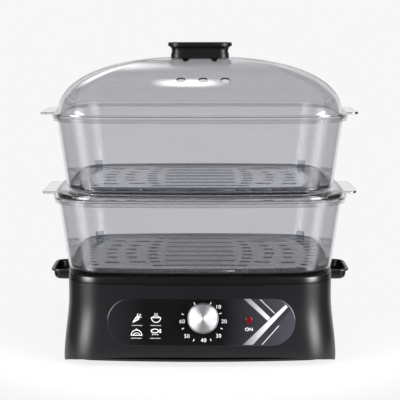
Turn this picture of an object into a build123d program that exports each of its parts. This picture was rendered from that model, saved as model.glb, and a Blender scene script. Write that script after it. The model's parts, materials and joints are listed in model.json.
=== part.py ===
"""Electric food steamer: two clear nesting baskets and a domed lid on a heated base.

Millimetres. +Z is up, the front faces -Y, and the origin is the middle of the base's underside.
Each sub-part is one STEP file in parts/, named as the piece is called on the bench.
"""
import os
from math import asin, atan, cos, degrees, radians, sin, tan

from build123d import *

os.makedirs("parts", exist_ok=True)

# ---------------------------------------------------------------- driving dimensions
# Plan outline of every shell: a rounded rectangle whose sides bow outwards
FRONT_BOW = 9.0              # rise of the front and back sides
SIDE_BOW = 6.0               # rise of the left and right sides
CORNER_R = 45.0              # plan corners of baskets and lid

# Housing and tank collar
BASE_HALF_WIDTH = 156.5      # housing at its top edge
BASE_HALF_DEPTH = 107.0
BASE_CORNER_R = 42.0
HOUSING_H = 96.8             # parting line between housing and tank
HOUSING_Z = 0.8              # lowest edge of the housing, just above what the feet stand on
BASE_FLARE = 6.5             # how much wider the housing is at its foot, on each side
FLARE_TOP = 78.0             # height where the flare begins
HOUSING_WALL = 2.5
ARCH_H = 14.0                # rise of the housing's lower edge between its corners
ARCH_CORNER = 6.0            # what the front arch leaves of the side walls
SIDE_ARCH_CORNER = 41.5      # what the side arch leaves of the front wall
SIDE_ARCH_H = 10.0
COLLAR_H = 8.2               # gloss band of the tank above the parting line
COLLAR_WALL = 5.0

# Water tank
TANK_WALL = 2.5
TANK_SIDE_ROOM = 10.5        # from the housing's outside to the tank's body, left and right
TANK_BACK_ROOM = 9.0
TIMER_ROOM = 49.0            # from the housing's front to the tank, kept free for the timer
TANK_HALF_WIDTH = BASE_HALF_WIDTH - TANK_SIDE_ROOM
TANK_FRONT_Y = TIMER_ROOM - BASE_HALF_DEPTH
TANK_BACK_Y = BASE_HALF_DEPTH - TANK_BACK_ROOM
TANK_CORNER_R = 30.0
TANK_FLOOR_Z = 42.0          # underside of the tank's floor
LIP_H = 4.5                  # lip of the tank inside the housing's top edge
SCOOP_REACH = 24.1           # side filler scoops beyond the housing
SCOOP_HALF_LENGTH = 30.0
SCOOP_H = 13.0
SCOOP_WALL = 3.0
SCOOP_FLOOR = 2.5
NECK_RIM = 4.0               # stiffening rim round each neck, on the inside of the tank's wall

# Drip tray
TRAY_T = 1.8
TRAY_REST = 2.6              # width of the rebate in the collar that the tray lies in
TRAY_WELL_INSET = 11.5       # from the housing's outside to the tray's well
CHIMNEY_R = 42.0
CHIMNEY_H = 8.5
CHIMNEY_WINDOWS = 8
WINDOW_W = 20.0

# Baskets
BASKET_H = 90.0
BASKET_INSET_X = 0.6         # from the collar's outside to the basket's, at its bottom
BASKET_INSET_Y = 3.1
BASKET_HALF_WIDTH = BASE_HALF_WIDTH - BASKET_INSET_X
BASKET_HALF_DEPTH = BASE_HALF_DEPTH - BASKET_INSET_Y
BASKET_FLARE = 10.2          # how much wider the wall is at the rim, on each side
BASKET_WALL = 2.5
BASKET_EDGE_R = 8.0          # rounding of the bottom edge
EDGE_STEPS = 4               # flats that it is made of
FLOOR_RING = 14.0            # width of the ledge at the bottom of the wall
RIM_REACH = 4.6              # rim flange beyond the wall
RIM_T = 2.5
RIM_COLLAR_H = 7.0
RIM_COLLAR_T = 2.0
TAB_REACH = 15.3             # side tabs beyond the rim
TAB_HALF_LENGTH = 40.0
TAB_T = 2.6
TAB_DROP = 0.8               # tab's top below the rim's top
SKIRT_H = 3.5                # stacking skirt under the upper basket
SKIRT_REACH = 11.5           # skirt beyond the bottom of the wall
LOCATOR_T = 2.0              # locating ribs under the baskets
LOCATOR_H = 3.0

# Basket floors
GRID_PLATE_T = 2.5
GRID_TOP = 8.5               # above the basket's bottom
GRID_EDGE_T = 2.0
GRID_LIP_H = 1.8             # raised border round the floor
GRID_LIP_T = 2.2
GRID_CLEARANCE = 0.8
SLOT_W = 4.0
LONG_SLOTS = 7
LONG_SLOT_PITCH = 25.0
LONG_SLOT_HALF = 41.0
OUTER_SLOT_INSET = 19.9      # from the basket's side to the outermost slots
CLIP_ANGLE = 52.0            # snap clips in the floor's corners, degrees from the sides
CLIP_W = 10.5
CLIP_H = 8.0
CLIP_T = 1.6

# Lid
LID_INSET_X = 2.1            # from the basket's wall at its rim to the dome, outside
LID_INSET_Y = -0.9
LID_HALF_WIDTH = BASKET_HALF_WIDTH + BASKET_FLARE - LID_INSET_X
LID_HALF_DEPTH = BASKET_HALF_DEPTH + BASKET_FLARE - LID_INSET_Y
LID_H = 62.5
LID_WIDTH_POWER = 2.4        # fullness of the dome across its width
LID_DEPTH_POWER = 1.5        # and across its depth
LID_TOP_SHARE = 0.985        # the dome ends in a small flat there
LID_WALL = 2.5
LID_FLANGE_T = 2.0
LID_FLANGE_REACH = 4.5
VENT_R = 5.2
VENT_PITCH = 25.0
VENT_X = 3.5
VENT_Y = -70.0
VENT_SLOPE = 29.0            # of the dome under the vents, degrees
KNOB_HALF_WIDTH = 38.0       # lid knob's cap
KNOB_HALF_DEPTH = 17.0
KNOB_CAP_T = 4.5
KNOB_WAIST_INSET = 4.5
KNOB_SCREW_SPACING = 34.0    # two screws hold the knob from inside the lid
KNOB_SCREW_R = 1.75
KNOB_SCREW_GRIP = 9.0        # how far the screws reach into the knob
KNOB_HEAD_R = 3.2
KNOB_HEAD_H = 2.2
KNOB_WASHER_R = 4.6
KNOB_WASHER_T = 1.0
KNOB_H = 16.5

# Control panel and timer
PANEL_X = 1.5
PANEL_Z = 54.0
PANEL_LENGTH = 215.0
PANEL_WIDTH = 54.0
PANEL_RAISED = 0.6
PANEL_SUNK = 1.6
PANEL_BACKING = 3.2
PANEL_MARGIN = 4.0
TIMER_X = 3.4
TIMER_Z = 61.0
DIAL_R = 17.4
DIAL_WAIST = 3.6             # the knob narrows by this towards the panel, for the fingers
DIAL_RIM_T = 2.4
DIAL_H = 10.0
DIAL_CAP_R = 16.2
DIAL_CAP_T = 1.2
DIAL_GAP = 1.6               # between the housing's face and the knob, clear of the raised panel
SHAFT_R = 3.0
SHAFT_CLEARANCE = 0.05
CASE_WIDTH = 54.0
CASE_HEIGHT = 46.0
CASE_DEPTH = 26.0
CASE_WALL = 1.2
CAM_R = 11.0
CAM_T = 4.0
SPRING_R = 17.0
SPRING_T = 7.0
BELL_R = 20.0
BELL_H = 8.0
TIMER_SCREW_SPACING = 40.0
TIMER_SCREW_R = 2.0
LAMP_X = 55.8
LAMP_Z = 56.7
LAMP_R = 4.25
LAMP_STEM_R = 3.4
LAMP_STEM_L = 14.0
BULB_R = 2.2

# Heater, under the middle of the tank
HEATER_Y = (TANK_FRONT_Y + TANK_BACK_Y) / 2
HEATER_R = 49.0
HEATER_HOLE_R = 38.0
HEATER_PLATE_T = 2.5
HEATER_BOSS_H = 6.0
SEAL_T = 1.2
STUD_R = 2.0
STUD_CIRCLE_R = 43.5
CLAMP_T = 2.0
NUT_H = 3.2
NUT_FLATS = 7.0
ELEMENT_R = 28.0
ELEMENT_TUBE_R = 3.25
ELEMENT_GAP = 50.0           # opening of the element's ring, degrees
THERMOSTAT_R = 9.0
THERMOSTAT_H = 8.0
BLADE_W = 5.0                # width of its terminal blades
STRAP_T = 1.2
STRAP_W = 10.0
FUSE_R = 2.0
FUSE_L = 14.0
SLEEVE_R = 54.0
SLEEVE_H = 26.0
SLEEVE_T = 2.0

# Underside
PLATE_Z = 8.0                # underside of the base plate
PLATE_T = 2.5
FOOT_R = 9.0
FOOT_INSET_X = 28.5          # from the housing's outside to the feet
FOOT_INSET_Y = 37.0
FOOT_X = BASE_HALF_WIDTH - FOOT_INSET_X
FOOT_Y = BASE_HALF_DEPTH - FOOT_INSET_Y
BASE_SCREW_X = 70.0
BASE_SCREW_INSET = 19.0
BASE_SCREW_Y = BASE_HALF_DEPTH - BASE_SCREW_INSET
SCREW_R = 1.75
SCREW_HEAD_R = 3.5
SCREW_HEAD_H = 2.2
BOSS_R = 5.0
TANK_SCREW_INSET = 18.0      # from the tank's side to its screws
TANK_SCREW_X = TANK_HALF_WIDTH - TANK_SCREW_INSET
TANK_SCREW_Y = 42.0

# Mains inlet and wiring
INLET_INSET = 51.5           # from the housing's side to the cord's inlet
INLET_X = BASE_HALF_WIDTH - INLET_INSET
INLET_Z = 30.0
INLET_R = 5.5
BUSH_FLANGE_R = 9.0
CORD_R = 3.5
BLOCK_OFFSET = 27.0          # terminal block beside the inlet
BLOCK_INSET = 45.0           # and in front of the housing's back
BLOCK_X = INLET_X - BLOCK_OFFSET
BLOCK_Y = BASE_HALF_DEPTH - BLOCK_INSET
CLAMP_INSET = 21.0
CLAMP_Y = BASE_HALF_DEPTH - CLAMP_INSET
BLOCK_LENGTH = 32.0
BLOCK_WIDTH = 18.0
BLOCK_H = 12.0
LEAD_R = 1.2

FIT = 0.15                   # clearance of fixed pieces
LIFT_FIT = 0.4               # clearance of pieces that lift off
NONE = 0.0


# ---------------------------------------------------------------- shared forms
def bowed_outline(half_width, half_depth, corner, front_bow=FRONT_BOW, side_bow=SIDE_BOW):
    """Rounded rectangle whose four sides bow outwards to the given half sizes."""
    x = half_width - side_bow
    y = half_depth - front_bow
    with BuildSketch() as outline:
        with BuildLine():
            SagittaArc((-x, -y), (x, -y), -front_bow)
            SagittaArc((x, -y), (x, y), -side_bow)
            SagittaArc((x, y), (-x, y), -front_bow)
            SagittaArc((-x, y), (-x, -y), -side_bow)
        make_face()
        fillet(outline.vertices(), corner)
    return outline.sketch


def flare(height):
    """How far the housing's wall stands out beyond its top edge at this height."""
    share = max(0.0, (FLARE_TOP - height) / FLARE_TOP)
    return BASE_FLARE * share ** 2 * (3 - 2 * share)


def base_outline(height, inset=NONE):
    """The housing's plan at a height, moved inwards by inset."""
    reach = flare(height) - inset
    return bowed_outline(BASE_HALF_WIDTH + reach, BASE_HALF_DEPTH + reach, BASE_CORNER_R - inset)


def base_form(inset=NONE):
    """Solid inside the housing's outer surface moved inwards by inset."""
    with BuildPart() as form:
        for share in (0, 0.2, 0.4, 0.6, 0.8, 1):
            height = HOUSING_Z + share * (HOUSING_H - HOUSING_Z)
            with BuildSketch(Plane.XY.offset(height)):
                add(base_outline(height, inset))
        loft()
    return form.part


def basket_growth(height):
    """How far the basket's wall stands out at this height above its bottom."""
    return BASKET_FLARE * height / BASKET_H


def basket_outline(height, inset=NONE):
    """The basket's plan at a height above its bottom, moved inwards by inset."""
    reach = basket_growth(height) - inset
    return bowed_outline(BASKET_HALF_WIDTH + reach, BASKET_HALF_DEPTH + reach, CORNER_R - inset)


def basket_form(bottom, floor, top, inset, edge):
    """Solid between two heights of the basket's wall, its bottom edge rounded in short steps."""
    with BuildPart() as form:
        for step in range(EDGE_STEPS + 1):
            angle = radians(90 * step / EDGE_STEPS)
            height = floor + edge * (1 - cos(angle))
            with BuildSketch(Plane.XY.offset(bottom + height)):
                add(basket_outline(height, inset + edge * (1 - sin(angle))))
        with BuildSketch(Plane.XY.offset(bottom + top)):
            add(basket_outline(top, inset))
        loft(ruled=True)
    return form.part


def lid_form(inset=NONE):
    """Solid inside the dome's outer surface moved inwards by inset."""
    height = LID_H - inset
    with BuildPart() as form:
        for share in (0, 0.2, 0.4, 0.58, 0.74, 0.87, 0.95, LID_TOP_SHARE):
            width = (1 - share ** LID_WIDTH_POWER) ** (1 / LID_WIDTH_POWER)
            depth = (1 - share ** LID_DEPTH_POWER) ** (1 / LID_DEPTH_POWER)
            half_width = (LID_HALF_WIDTH - inset) * width
            half_depth = (LID_HALF_DEPTH - inset) * depth
            with BuildSketch(Plane.XY.offset(LID_Z + share * height)):
                add(bowed_outline(half_width, half_depth, (CORNER_R - inset) * depth,
                                  FRONT_BOW * depth, SIDE_BOW * depth))
        loft()
    return form.part


def front_plane(x, z):
    """Plane on the housing's front face, its normal pointing out of the face."""
    bow_radius = ((BASE_HALF_WIDTH - SIDE_BOW) ** 2 + FRONT_BOW ** 2) / (2 * FRONT_BOW)
    front = -(BASE_HALF_DEPTH + flare(z)) + x ** 2 / (2 * bow_radius)
    slope = flare(z - 0.5) - flare(z + 0.5)
    turn = x / bow_radius
    return Plane(origin=(x, front, z), x_dir=(1, turn, 0), z_dir=(turn, -1, slope))


# ---------------------------------------------------------------- levels worked out from the above
COLLAR_TOP = HOUSING_H + COLLAR_H
LOWER_Z = COLLAR_TOP                         # bottom of the lower basket
UPPER_FOOT_Z = LOWER_Z + BASKET_H            # foot of the upper basket's skirt
UPPER_Z = UPPER_FOOT_Z + SKIRT_H             # bottom of the upper basket
LID_Z = UPPER_Z + BASKET_H                   # underside of the lid's flange
TAB_TIP = BASKET_HALF_WIDTH + BASKET_FLARE + RIM_REACH + TAB_REACH
SCOOP_TIP = BASE_HALF_WIDTH + SCOOP_REACH
TANK_FLOOR_TOP = TANK_FLOOR_Z + TANK_WALL
PLATE_TOP = PLATE_Z + PLATE_T
DECK_TOP = HOUSING_H + TANK_WALL

TIMER_PLANE = front_plane(TIMER_X, TIMER_Z)
LAMP_PLANE = front_plane(LAMP_X, LAMP_Z)
WALL_BACK = PANEL_SUNK + PANEL_BACKING + 0.4  # flat pads behind the panel end here
PAD_T = WALL_BACK - PANEL_SUNK


# ---------------------------------------------------------------- lid
lid_inside = lid_form(LID_WALL)
with BuildPart() as lid:
    add(lid_form())
    with BuildSketch(Plane.XY.offset(LID_Z)):
        add(bowed_outline(LID_HALF_WIDTH + LID_FLANGE_REACH, LID_HALF_DEPTH + LID_FLANGE_REACH - 2,
                          CORNER_R))
    extrude(amount=LID_FLANGE_T)
    add(lid_inside, mode=Mode.SUBTRACT)
    vent_plane = Plane(origin=(VENT_X, VENT_Y, LID_Z + LID_H / 2), x_dir=(1, 0, 0),
                       z_dir=(0, -sin(radians(VENT_SLOPE)), cos(radians(VENT_SLOPE))))
    with BuildSketch(vent_plane):
        with GridLocations(VENT_PITCH, 1, 3, 1):
            Circle(VENT_R)
    extrude(amount=LID_H / 2, both=True, mode=Mode.SUBTRACT)
    with BuildSketch(Plane.XY.offset(LID_Z + LID_H / 2)):
        with GridLocations(KNOB_SCREW_SPACING, 1, 2, 1):
            Circle(KNOB_SCREW_R + FIT)
    extrude(amount=LID_H, mode=Mode.SUBTRACT)
lid.part.label = "lid"
export_step(lid.part, "parts/lid.step")

LID_TOP = LID_Z + LID_H * LID_TOP_SHARE
KNOB_TOP = LID_Z + LID_H + KNOB_H
with BuildPart() as lid_knob:
    with BuildSketch(Plane.XY.offset(LID_TOP - 4)):
        RectangleRounded(2 * (KNOB_HALF_WIDTH - KNOB_WAIST_INSET),
                         2 * (KNOB_HALF_DEPTH - KNOB_WAIST_INSET), 11)
    extrude(amount=KNOB_TOP - KNOB_CAP_T - LID_TOP + 4)
    with BuildSketch(Plane.XY.offset(KNOB_TOP - KNOB_CAP_T)):
        RectangleRounded(2 * KNOB_HALF_WIDTH, 2 * KNOB_HALF_DEPTH, 15)
    extrude(amount=KNOB_CAP_T)
    fillet(lid_knob.faces().sort_by(Axis.Z)[-1].edges(), 1.6)
    add(lid_form(), mode=Mode.SUBTRACT)
    with BuildSketch(Plane.XY.offset(LID_TOP - 4)):
        with GridLocations(KNOB_SCREW_SPACING, 1, 2, 1):
            Circle(KNOB_SCREW_R)
    extrude(amount=14, mode=Mode.SUBTRACT)
lid_knob.part.label = "lid_knob"
export_step(lid_knob.part, "parts/lid_knob.step")

LID_CEILING = LID_Z + (LID_H - LID_WALL) * LID_TOP_SHARE
with BuildPart() as lid_knob_washer:
    with BuildSketch(Plane.XY.offset(LID_CEILING - KNOB_WASHER_T)):
        with GridLocations(KNOB_SCREW_SPACING, 1, 2, 1):
            Circle(KNOB_WASHER_R)
            Circle(KNOB_SCREW_R + FIT, mode=Mode.SUBTRACT)
    extrude(amount=KNOB_WASHER_T)
lid_knob_washer.part.label = "lid_knob_washer"
export_step(lid_knob_washer.part, "parts/lid_knob_washer.step")

KNOB_HEAD_Z = LID_CEILING - KNOB_WASHER_T - KNOB_HEAD_H
with BuildPart() as lid_knob_screw:
    with BuildSketch(Plane.XY.offset(KNOB_HEAD_Z)):
        with GridLocations(KNOB_SCREW_SPACING, 1, 2, 1):
            Circle(KNOB_HEAD_R)
    extrude(amount=KNOB_HEAD_H)
    with BuildSketch(Plane.XY.offset(LID_CEILING - KNOB_WASHER_T)):
        with GridLocations(KNOB_SCREW_SPACING, 1, 2, 1):
            Circle(KNOB_SCREW_R)
    extrude(amount=LID_TOP + KNOB_SCREW_GRIP - LID_CEILING + KNOB_WASHER_T)
    with BuildSketch(Plane.XY.offset(KNOB_HEAD_Z)):
        with GridLocations(KNOB_SCREW_SPACING, 1, 2, 1):
            Rectangle(1.3 * KNOB_HEAD_R, 0.8)
            Rectangle(0.8, 1.3 * KNOB_HEAD_R)
    extrude(amount=KNOB_HEAD_H / 2, mode=Mode.SUBTRACT)
lid_knob_screw.part.label = "lid_knob_screw"
export_step(lid_knob_screw.part, "parts/lid_knob_screw.step")


# ---------------------------------------------------------------- baskets
def build_basket(bottom, stacks):
    """One clear bowl, open below inside its floor ring. A stacking one stands on a skirt."""
    top = bottom + BASKET_H
    hollow = basket_form(bottom, BASKET_WALL, BASKET_H + 1, BASKET_WALL, BASKET_EDGE_R - BASKET_WALL)
    with BuildPart() as basket:
        add(basket_form(bottom, 0, BASKET_H, NONE, BASKET_EDGE_R))
        with BuildSketch(Plane.XY.offset(top - RIM_T)):
            add(basket_outline(BASKET_H, -RIM_REACH))
        extrude(amount=RIM_T)
        with BuildSketch(Plane.XY.offset(top - RIM_COLLAR_H)):
            add(basket_outline(BASKET_H, -RIM_REACH))
            add(basket_outline(BASKET_H, RIM_COLLAR_T - RIM_REACH), mode=Mode.SUBTRACT)
        extrude(amount=RIM_COLLAR_H - RIM_T)
        with BuildSketch(Plane.XY.offset(top - TAB_DROP - TAB_T)):
            RectangleRounded(2 * TAB_TIP, 2 * TAB_HALF_LENGTH, 10)
            add(basket_outline(BASKET_H, RIM_COLLAR_T / 2 - RIM_REACH), mode=Mode.SUBTRACT)
        extrude(amount=TAB_T)
        if stacks:
            with BuildSketch(Plane.XY.offset(bottom - SKIRT_H)):
                add(basket_outline(0, -SKIRT_REACH))
            extrude(amount=SKIRT_H)
            with BuildSketch(Plane.XY.offset(bottom)):
                add(basket_outline(0, BASKET_WALL - SKIRT_REACH))
                add(basket_outline(0, BASKET_EDGE_R / 2), mode=Mode.SUBTRACT)
            extrude(amount=LIFT_FIT, mode=Mode.ADD)
            with BuildSketch(Plane.XY.offset(bottom - SKIRT_H - LOCATOR_H)):
                reach = BASKET_FLARE - BASKET_WALL - 1
                add(basket_outline(0, -reach))
                add(basket_outline(0, LOCATOR_T - reach), mode=Mode.SUBTRACT)
            extrude(amount=LOCATOR_H)
        else:
            well = BASKET_HALF_WIDTH - BASE_HALF_WIDTH + TRAY_WELL_INSET + LIFT_FIT
            with BuildSketch(Plane.XY.offset(bottom - LOCATOR_H)):
                add(basket_outline(0, well))
                add(basket_outline(0, well + LOCATOR_T), mode=Mode.SUBTRACT)
            extrude(amount=LOCATOR_H)
        add(hollow, mode=Mode.SUBTRACT)
        with BuildSketch(Plane.XY.offset(bottom - SKIRT_H)):
            add(basket_outline(0, FLOOR_RING))
        extrude(amount=SKIRT_H + BASKET_WALL, mode=Mode.SUBTRACT)
    return basket


lower_basket = build_basket(LOWER_Z, stacks=False)
lower_basket.part.label = "lower_basket"
export_step(lower_basket.part, "parts/lower_basket.step")

upper_basket = build_basket(UPPER_Z, stacks=True)
upper_basket.part.label = "upper_basket"
export_step(upper_basket.part, "parts/upper_basket.step")


def slot_column(reach, bulge, half_span, count, length):
    """Short slots in a column at each end of the floor, drawn inwards by bulge at its two ends."""
    for index in range(count):
        y = half_span * (2 * index / (count - 1) - 1)
        x = reach - bulge * (y / half_span) ** 2
        with Locations((x, y), (-x, y)):
            SlotOverall(length, SLOT_W)


def build_grid(bottom):
    """Slotted floor: a plate with a raised border on a down-turned edge, with four snap clips."""
    inset = BASKET_WALL + GRID_CLEARANCE
    plate_z = bottom + GRID_TOP - GRID_PLATE_T
    with BuildSketch() as slots:
        with GridLocations(1, LONG_SLOT_PITCH, 1, LONG_SLOTS):
            SlotOverall(2 * LONG_SLOT_HALF, SLOT_W)
        slot_column(reach=LONG_SLOT_HALF + 17, bulge=9, half_span=76, count=9, length=11)
        slot_column(reach=85, bulge=4, half_span=33, count=4, length=11)
        slot_column(reach=108, bulge=3, half_span=33, count=4, length=11)
        slot_column(reach=73, bulge=0, half_span=58, count=2, length=18)
        slot_column(reach=103, bulge=0, half_span=60, count=2, length=16)
        slot_column(reach=BASKET_HALF_WIDTH - OUTER_SLOT_INSET, bulge=14, half_span=72, count=10, length=9)
    with BuildPart() as grid:
        with BuildSketch(Plane.XY.offset(plate_z)):
            add(basket_outline(GRID_TOP, inset))
            add(slots.sketch, mode=Mode.SUBTRACT)
        extrude(amount=GRID_PLATE_T)
        with BuildSketch(Plane.XY.offset(bottom + GRID_TOP)):
            add(basket_outline(GRID_TOP, inset))
            add(basket_outline(GRID_TOP, inset + GRID_LIP_T), mode=Mode.SUBTRACT)
        extrude(amount=GRID_LIP_H)
        with BuildSketch(Plane.XY.offset(bottom + BASKET_WALL)):
            add(basket_outline(0, BASKET_EDGE_R + LIFT_FIT))
            add(basket_outline(0, BASKET_EDGE_R + LIFT_FIT + GRID_EDGE_T), mode=Mode.SUBTRACT)
        extrude(amount=GRID_TOP - GRID_PLATE_T - BASKET_WALL)
        corner_x = BASKET_HALF_WIDTH - SIDE_BOW / 2 - CORNER_R
        corner_y = BASKET_HALF_DEPTH - FRONT_BOW / 2 - CORNER_R
        clip_r = CORNER_R - inset - GRID_EDGE_T - CLIP_T
        for side_x, side_y in ((1, 1), (-1, 1), (1, -1), (-1, -1)):
            turn = side_x * side_y * (CLIP_ANGLE - 90)
            clip_x = side_x * (corner_x + clip_r * cos(radians(CLIP_ANGLE)))
            clip_y = side_y * (corner_y + clip_r * sin(radians(CLIP_ANGLE)))
            with BuildSketch(Plane.XY.offset(bottom + GRID_TOP)):
                with Locations(Location((clip_x, clip_y, 0), (0, 0, turn))):
                    Rectangle(CLIP_W, CLIP_T)
            extrude(amount=CLIP_H)
    return grid


lower_grid = build_grid(LOWER_Z)
lower_grid.part.label = "lower_grid"
export_step(lower_grid.part, "parts/lower_grid.step")

upper_grid = build_grid(UPPER_Z)
upper_grid.part.label = "upper_grid"
export_step(upper_grid.part, "parts/upper_grid.step")


# ---------------------------------------------------------------- drip tray
well_floor_z = DECK_TOP + FIT
with BuildPart() as drip_tray:
    with BuildSketch(Plane.XY.offset(COLLAR_TOP - TRAY_T)):
        add(base_outline(HOUSING_H, COLLAR_WALL - TRAY_REST + LIFT_FIT))
    extrude(amount=TRAY_T)
    with BuildSketch(Plane.XY.offset(well_floor_z)):
        add(base_outline(HOUSING_H, TRAY_WELL_INSET - TRAY_T))
    extrude(amount=COLLAR_TOP - TRAY_T - well_floor_z)
    with BuildSketch(Plane.XY.offset(well_floor_z + TRAY_T)):
        add(base_outline(HOUSING_H, TRAY_WELL_INSET))
    extrude(amount=COLLAR_H, mode=Mode.SUBTRACT)
    with BuildSketch(Plane.XY.offset(well_floor_z)):
        with Locations((0, HEATER_Y)):
            Circle(CHIMNEY_R)
    extrude(amount=CHIMNEY_H)
    with BuildSketch(Plane.XY.offset(well_floor_z)):
        with Locations((0, HEATER_Y)):
            Circle(CHIMNEY_R - TRAY_T)
    extrude(amount=CHIMNEY_H - TRAY_T, mode=Mode.SUBTRACT)
    with BuildSketch(Plane.XY.offset(well_floor_z + 2 * TRAY_T)):
        with Locations((0, HEATER_Y)):
            with PolarLocations(CHIMNEY_R, CHIMNEY_WINDOWS):
                Rectangle(4 * TRAY_T, WINDOW_W)
    extrude(amount=CHIMNEY_H - 3 * TRAY_T, mode=Mode.SUBTRACT)
drip_tray.part.label = "drip_tray"
export_step(drip_tray.part, "parts/drip_tray.step")


# ---------------------------------------------------------------- water tank
def tank_plan(inset=NONE):
    """Plan of the tank's body, moved inwards by inset."""
    length = TANK_BACK_Y - TANK_FRONT_Y
    with BuildSketch() as plan:
        with Locations((0, TANK_FRONT_Y + length / 2)):
            RectangleRounded(2 * (TANK_HALF_WIDTH - inset), length - 2 * inset, TANK_CORNER_R - inset)
    return plan.sketch


def scoop_plan(inset=NONE):
    """Plan of the two filler scoops, from the tank's wall outwards."""
    with BuildSketch() as plan:
        RectangleRounded(2 * (SCOOP_TIP - inset), 2 * (SCOOP_HALF_LENGTH - inset), 12 - inset)
    return plan.sketch


SCOOP_BOTTOM = HOUSING_H - SCOOP_H
with BuildPart() as water_tank:
    with BuildSketch(Plane.XY.offset(HOUSING_H)):
        add(base_outline(HOUSING_H))
        add(base_outline(HOUSING_H, COLLAR_WALL), mode=Mode.SUBTRACT)
    extrude(amount=COLLAR_H)
    with BuildSketch(Plane.XY.offset(COLLAR_TOP - TRAY_T)):
        add(base_outline(HOUSING_H, COLLAR_WALL - TRAY_REST))
    extrude(amount=TRAY_T, mode=Mode.SUBTRACT)
    with BuildSketch(Plane.XY.offset(HOUSING_H)):
        add(base_outline(HOUSING_H, COLLAR_WALL / 2))
    extrude(amount=TANK_WALL)
    with BuildSketch(Plane.XY.offset(HOUSING_H - LIP_H)):
        add(base_outline(HOUSING_H, HOUSING_WALL + FIT))
        add(base_outline(HOUSING_H, HOUSING_WALL + FIT + TANK_WALL), mode=Mode.SUBTRACT)
    extrude(amount=LIP_H)
    with BuildSketch(Plane.XY.offset(TANK_FLOOR_Z)):
        add(tank_plan())
    extrude(amount=HOUSING_H - TANK_FLOOR_Z)
    with BuildSketch(Plane.XY.offset(SCOOP_BOTTOM)):
        add(scoop_plan())
    extrude(amount=SCOOP_H)
    with BuildSketch(Plane.XY.offset(TANK_FLOOR_TOP)):
        add(tank_plan(TANK_WALL))
    extrude(amount=COLLAR_TOP - TANK_FLOOR_TOP, mode=Mode.SUBTRACT)
    with BuildSketch(Plane.XY.offset(SCOOP_BOTTOM - NECK_RIM)):
        Rectangle(2 * TANK_HALF_WIDTH - TANK_WALL, 2 * (SCOOP_HALF_LENGTH + NECK_RIM))
        Rectangle(2 * (TANK_HALF_WIDTH - TANK_WALL - NECK_RIM), 4 * SCOOP_HALF_LENGTH, mode=Mode.SUBTRACT)
    extrude(amount=SCOOP_H + NECK_RIM)
    with BuildSketch(Plane.XY.offset(SCOOP_BOTTOM + SCOOP_FLOOR)):
        add(scoop_plan(SCOOP_WALL))
        add(tank_plan(TANK_WALL + NECK_RIM), mode=Mode.SUBTRACT)
    extrude(amount=SCOOP_H - SCOOP_FLOOR - TANK_WALL, mode=Mode.SUBTRACT)
    with BuildSketch(Plane.XY.offset(HOUSING_H - TANK_WALL)):
        add(scoop_plan(SCOOP_WALL))
        add(base_outline(HOUSING_H), mode=Mode.SUBTRACT)
    extrude(amount=TANK_WALL, mode=Mode.SUBTRACT)
    with BuildSketch(Plane.XY.offset(TANK_FLOOR_Z)):
        with Locations((0, HEATER_Y)):
            Circle(HEATER_HOLE_R)
            with PolarLocations(STUD_CIRCLE_R, 4):
                Circle(STUD_R + FIT)
    extrude(amount=TANK_WALL, mode=Mode.SUBTRACT)
    with BuildSketch(Plane.XY.offset(PLATE_TOP)):
        with GridLocations(2 * TANK_SCREW_X, 2 * TANK_SCREW_Y, 2, 2):
            Circle(BOSS_R)
            Circle(SCREW_R, mode=Mode.SUBTRACT)
    extrude(amount=TANK_FLOOR_Z - PLATE_TOP)
water_tank.part.label = "water_tank"
export_step(water_tank.part, "parts/water_tank.step")


# ---------------------------------------------------------------- housing and control panel
def panel_prism(grow=NONE):
    """The panel's stadium, run through the front wall from behind it to well in front."""
    with BuildPart() as prism:
        with BuildSketch(Plane.XZ.offset(BASE_HALF_DEPTH / 2)):
            with Locations((PANEL_X, PANEL_Z)):
                SlotOverall(PANEL_LENGTH + 2 * grow, PANEL_WIDTH + 2 * grow)
        extrude(amount=BASE_HALF_DEPTH)
    return prism.part


def arch_face(half_length, height):
    """Outline of the arch cut into the housing's lower edge."""
    with BuildSketch() as arch:
        with BuildLine():
            Bezier((-half_length, 0), (-0.97 * half_length, 0.95 * height),
                   (-half_length / 2, height), (0, height))
            Bezier((0, height), (half_length / 2, height),
                   (0.97 * half_length, 0.95 * height), (half_length, 0))
            Polyline((half_length, 0), (half_length, -1), (-half_length, -1), (-half_length, 0))
        make_face()
    return arch.sketch


def back_plane(x, z):
    """Plane on the housing's back face, its normal pointing out of the face."""
    front = front_plane(x, z)
    normal = front.z_dir
    return Plane(origin=(x, -front.origin.Y, z), x_dir=(-1, normal.X, 0),
                 z_dir=(normal.X, -normal.Y, normal.Z))


INLET_PLANE = back_plane(INLET_X, INLET_Z)
TIMER_SCREW_HEAD = PANEL_SUNK + 0.4          # the screws' heads lie this far under the front face
panel_floor = base_form(PANEL_SUNK)

with BuildPart() as control_panel:
    add(panel_prism())
    add(base_form(-PANEL_RAISED), mode=Mode.INTERSECT)
    add(panel_floor, mode=Mode.SUBTRACT)
    with BuildSketch(TIMER_PLANE):
        Circle(SHAFT_R + 1.5)
    extrude(amount=DIAL_R, both=True, mode=Mode.SUBTRACT)
    with BuildSketch(LAMP_PLANE):
        Circle(LAMP_STEM_R + FIT)
    extrude(amount=DIAL_R, both=True, mode=Mode.SUBTRACT)
control_panel.part.label = "control_panel"
export_step(control_panel.part, "parts/control_panel.step")

with BuildPart() as panel_recess:
    add(panel_prism(FIT))
    add(panel_floor, mode=Mode.SUBTRACT)

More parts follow.
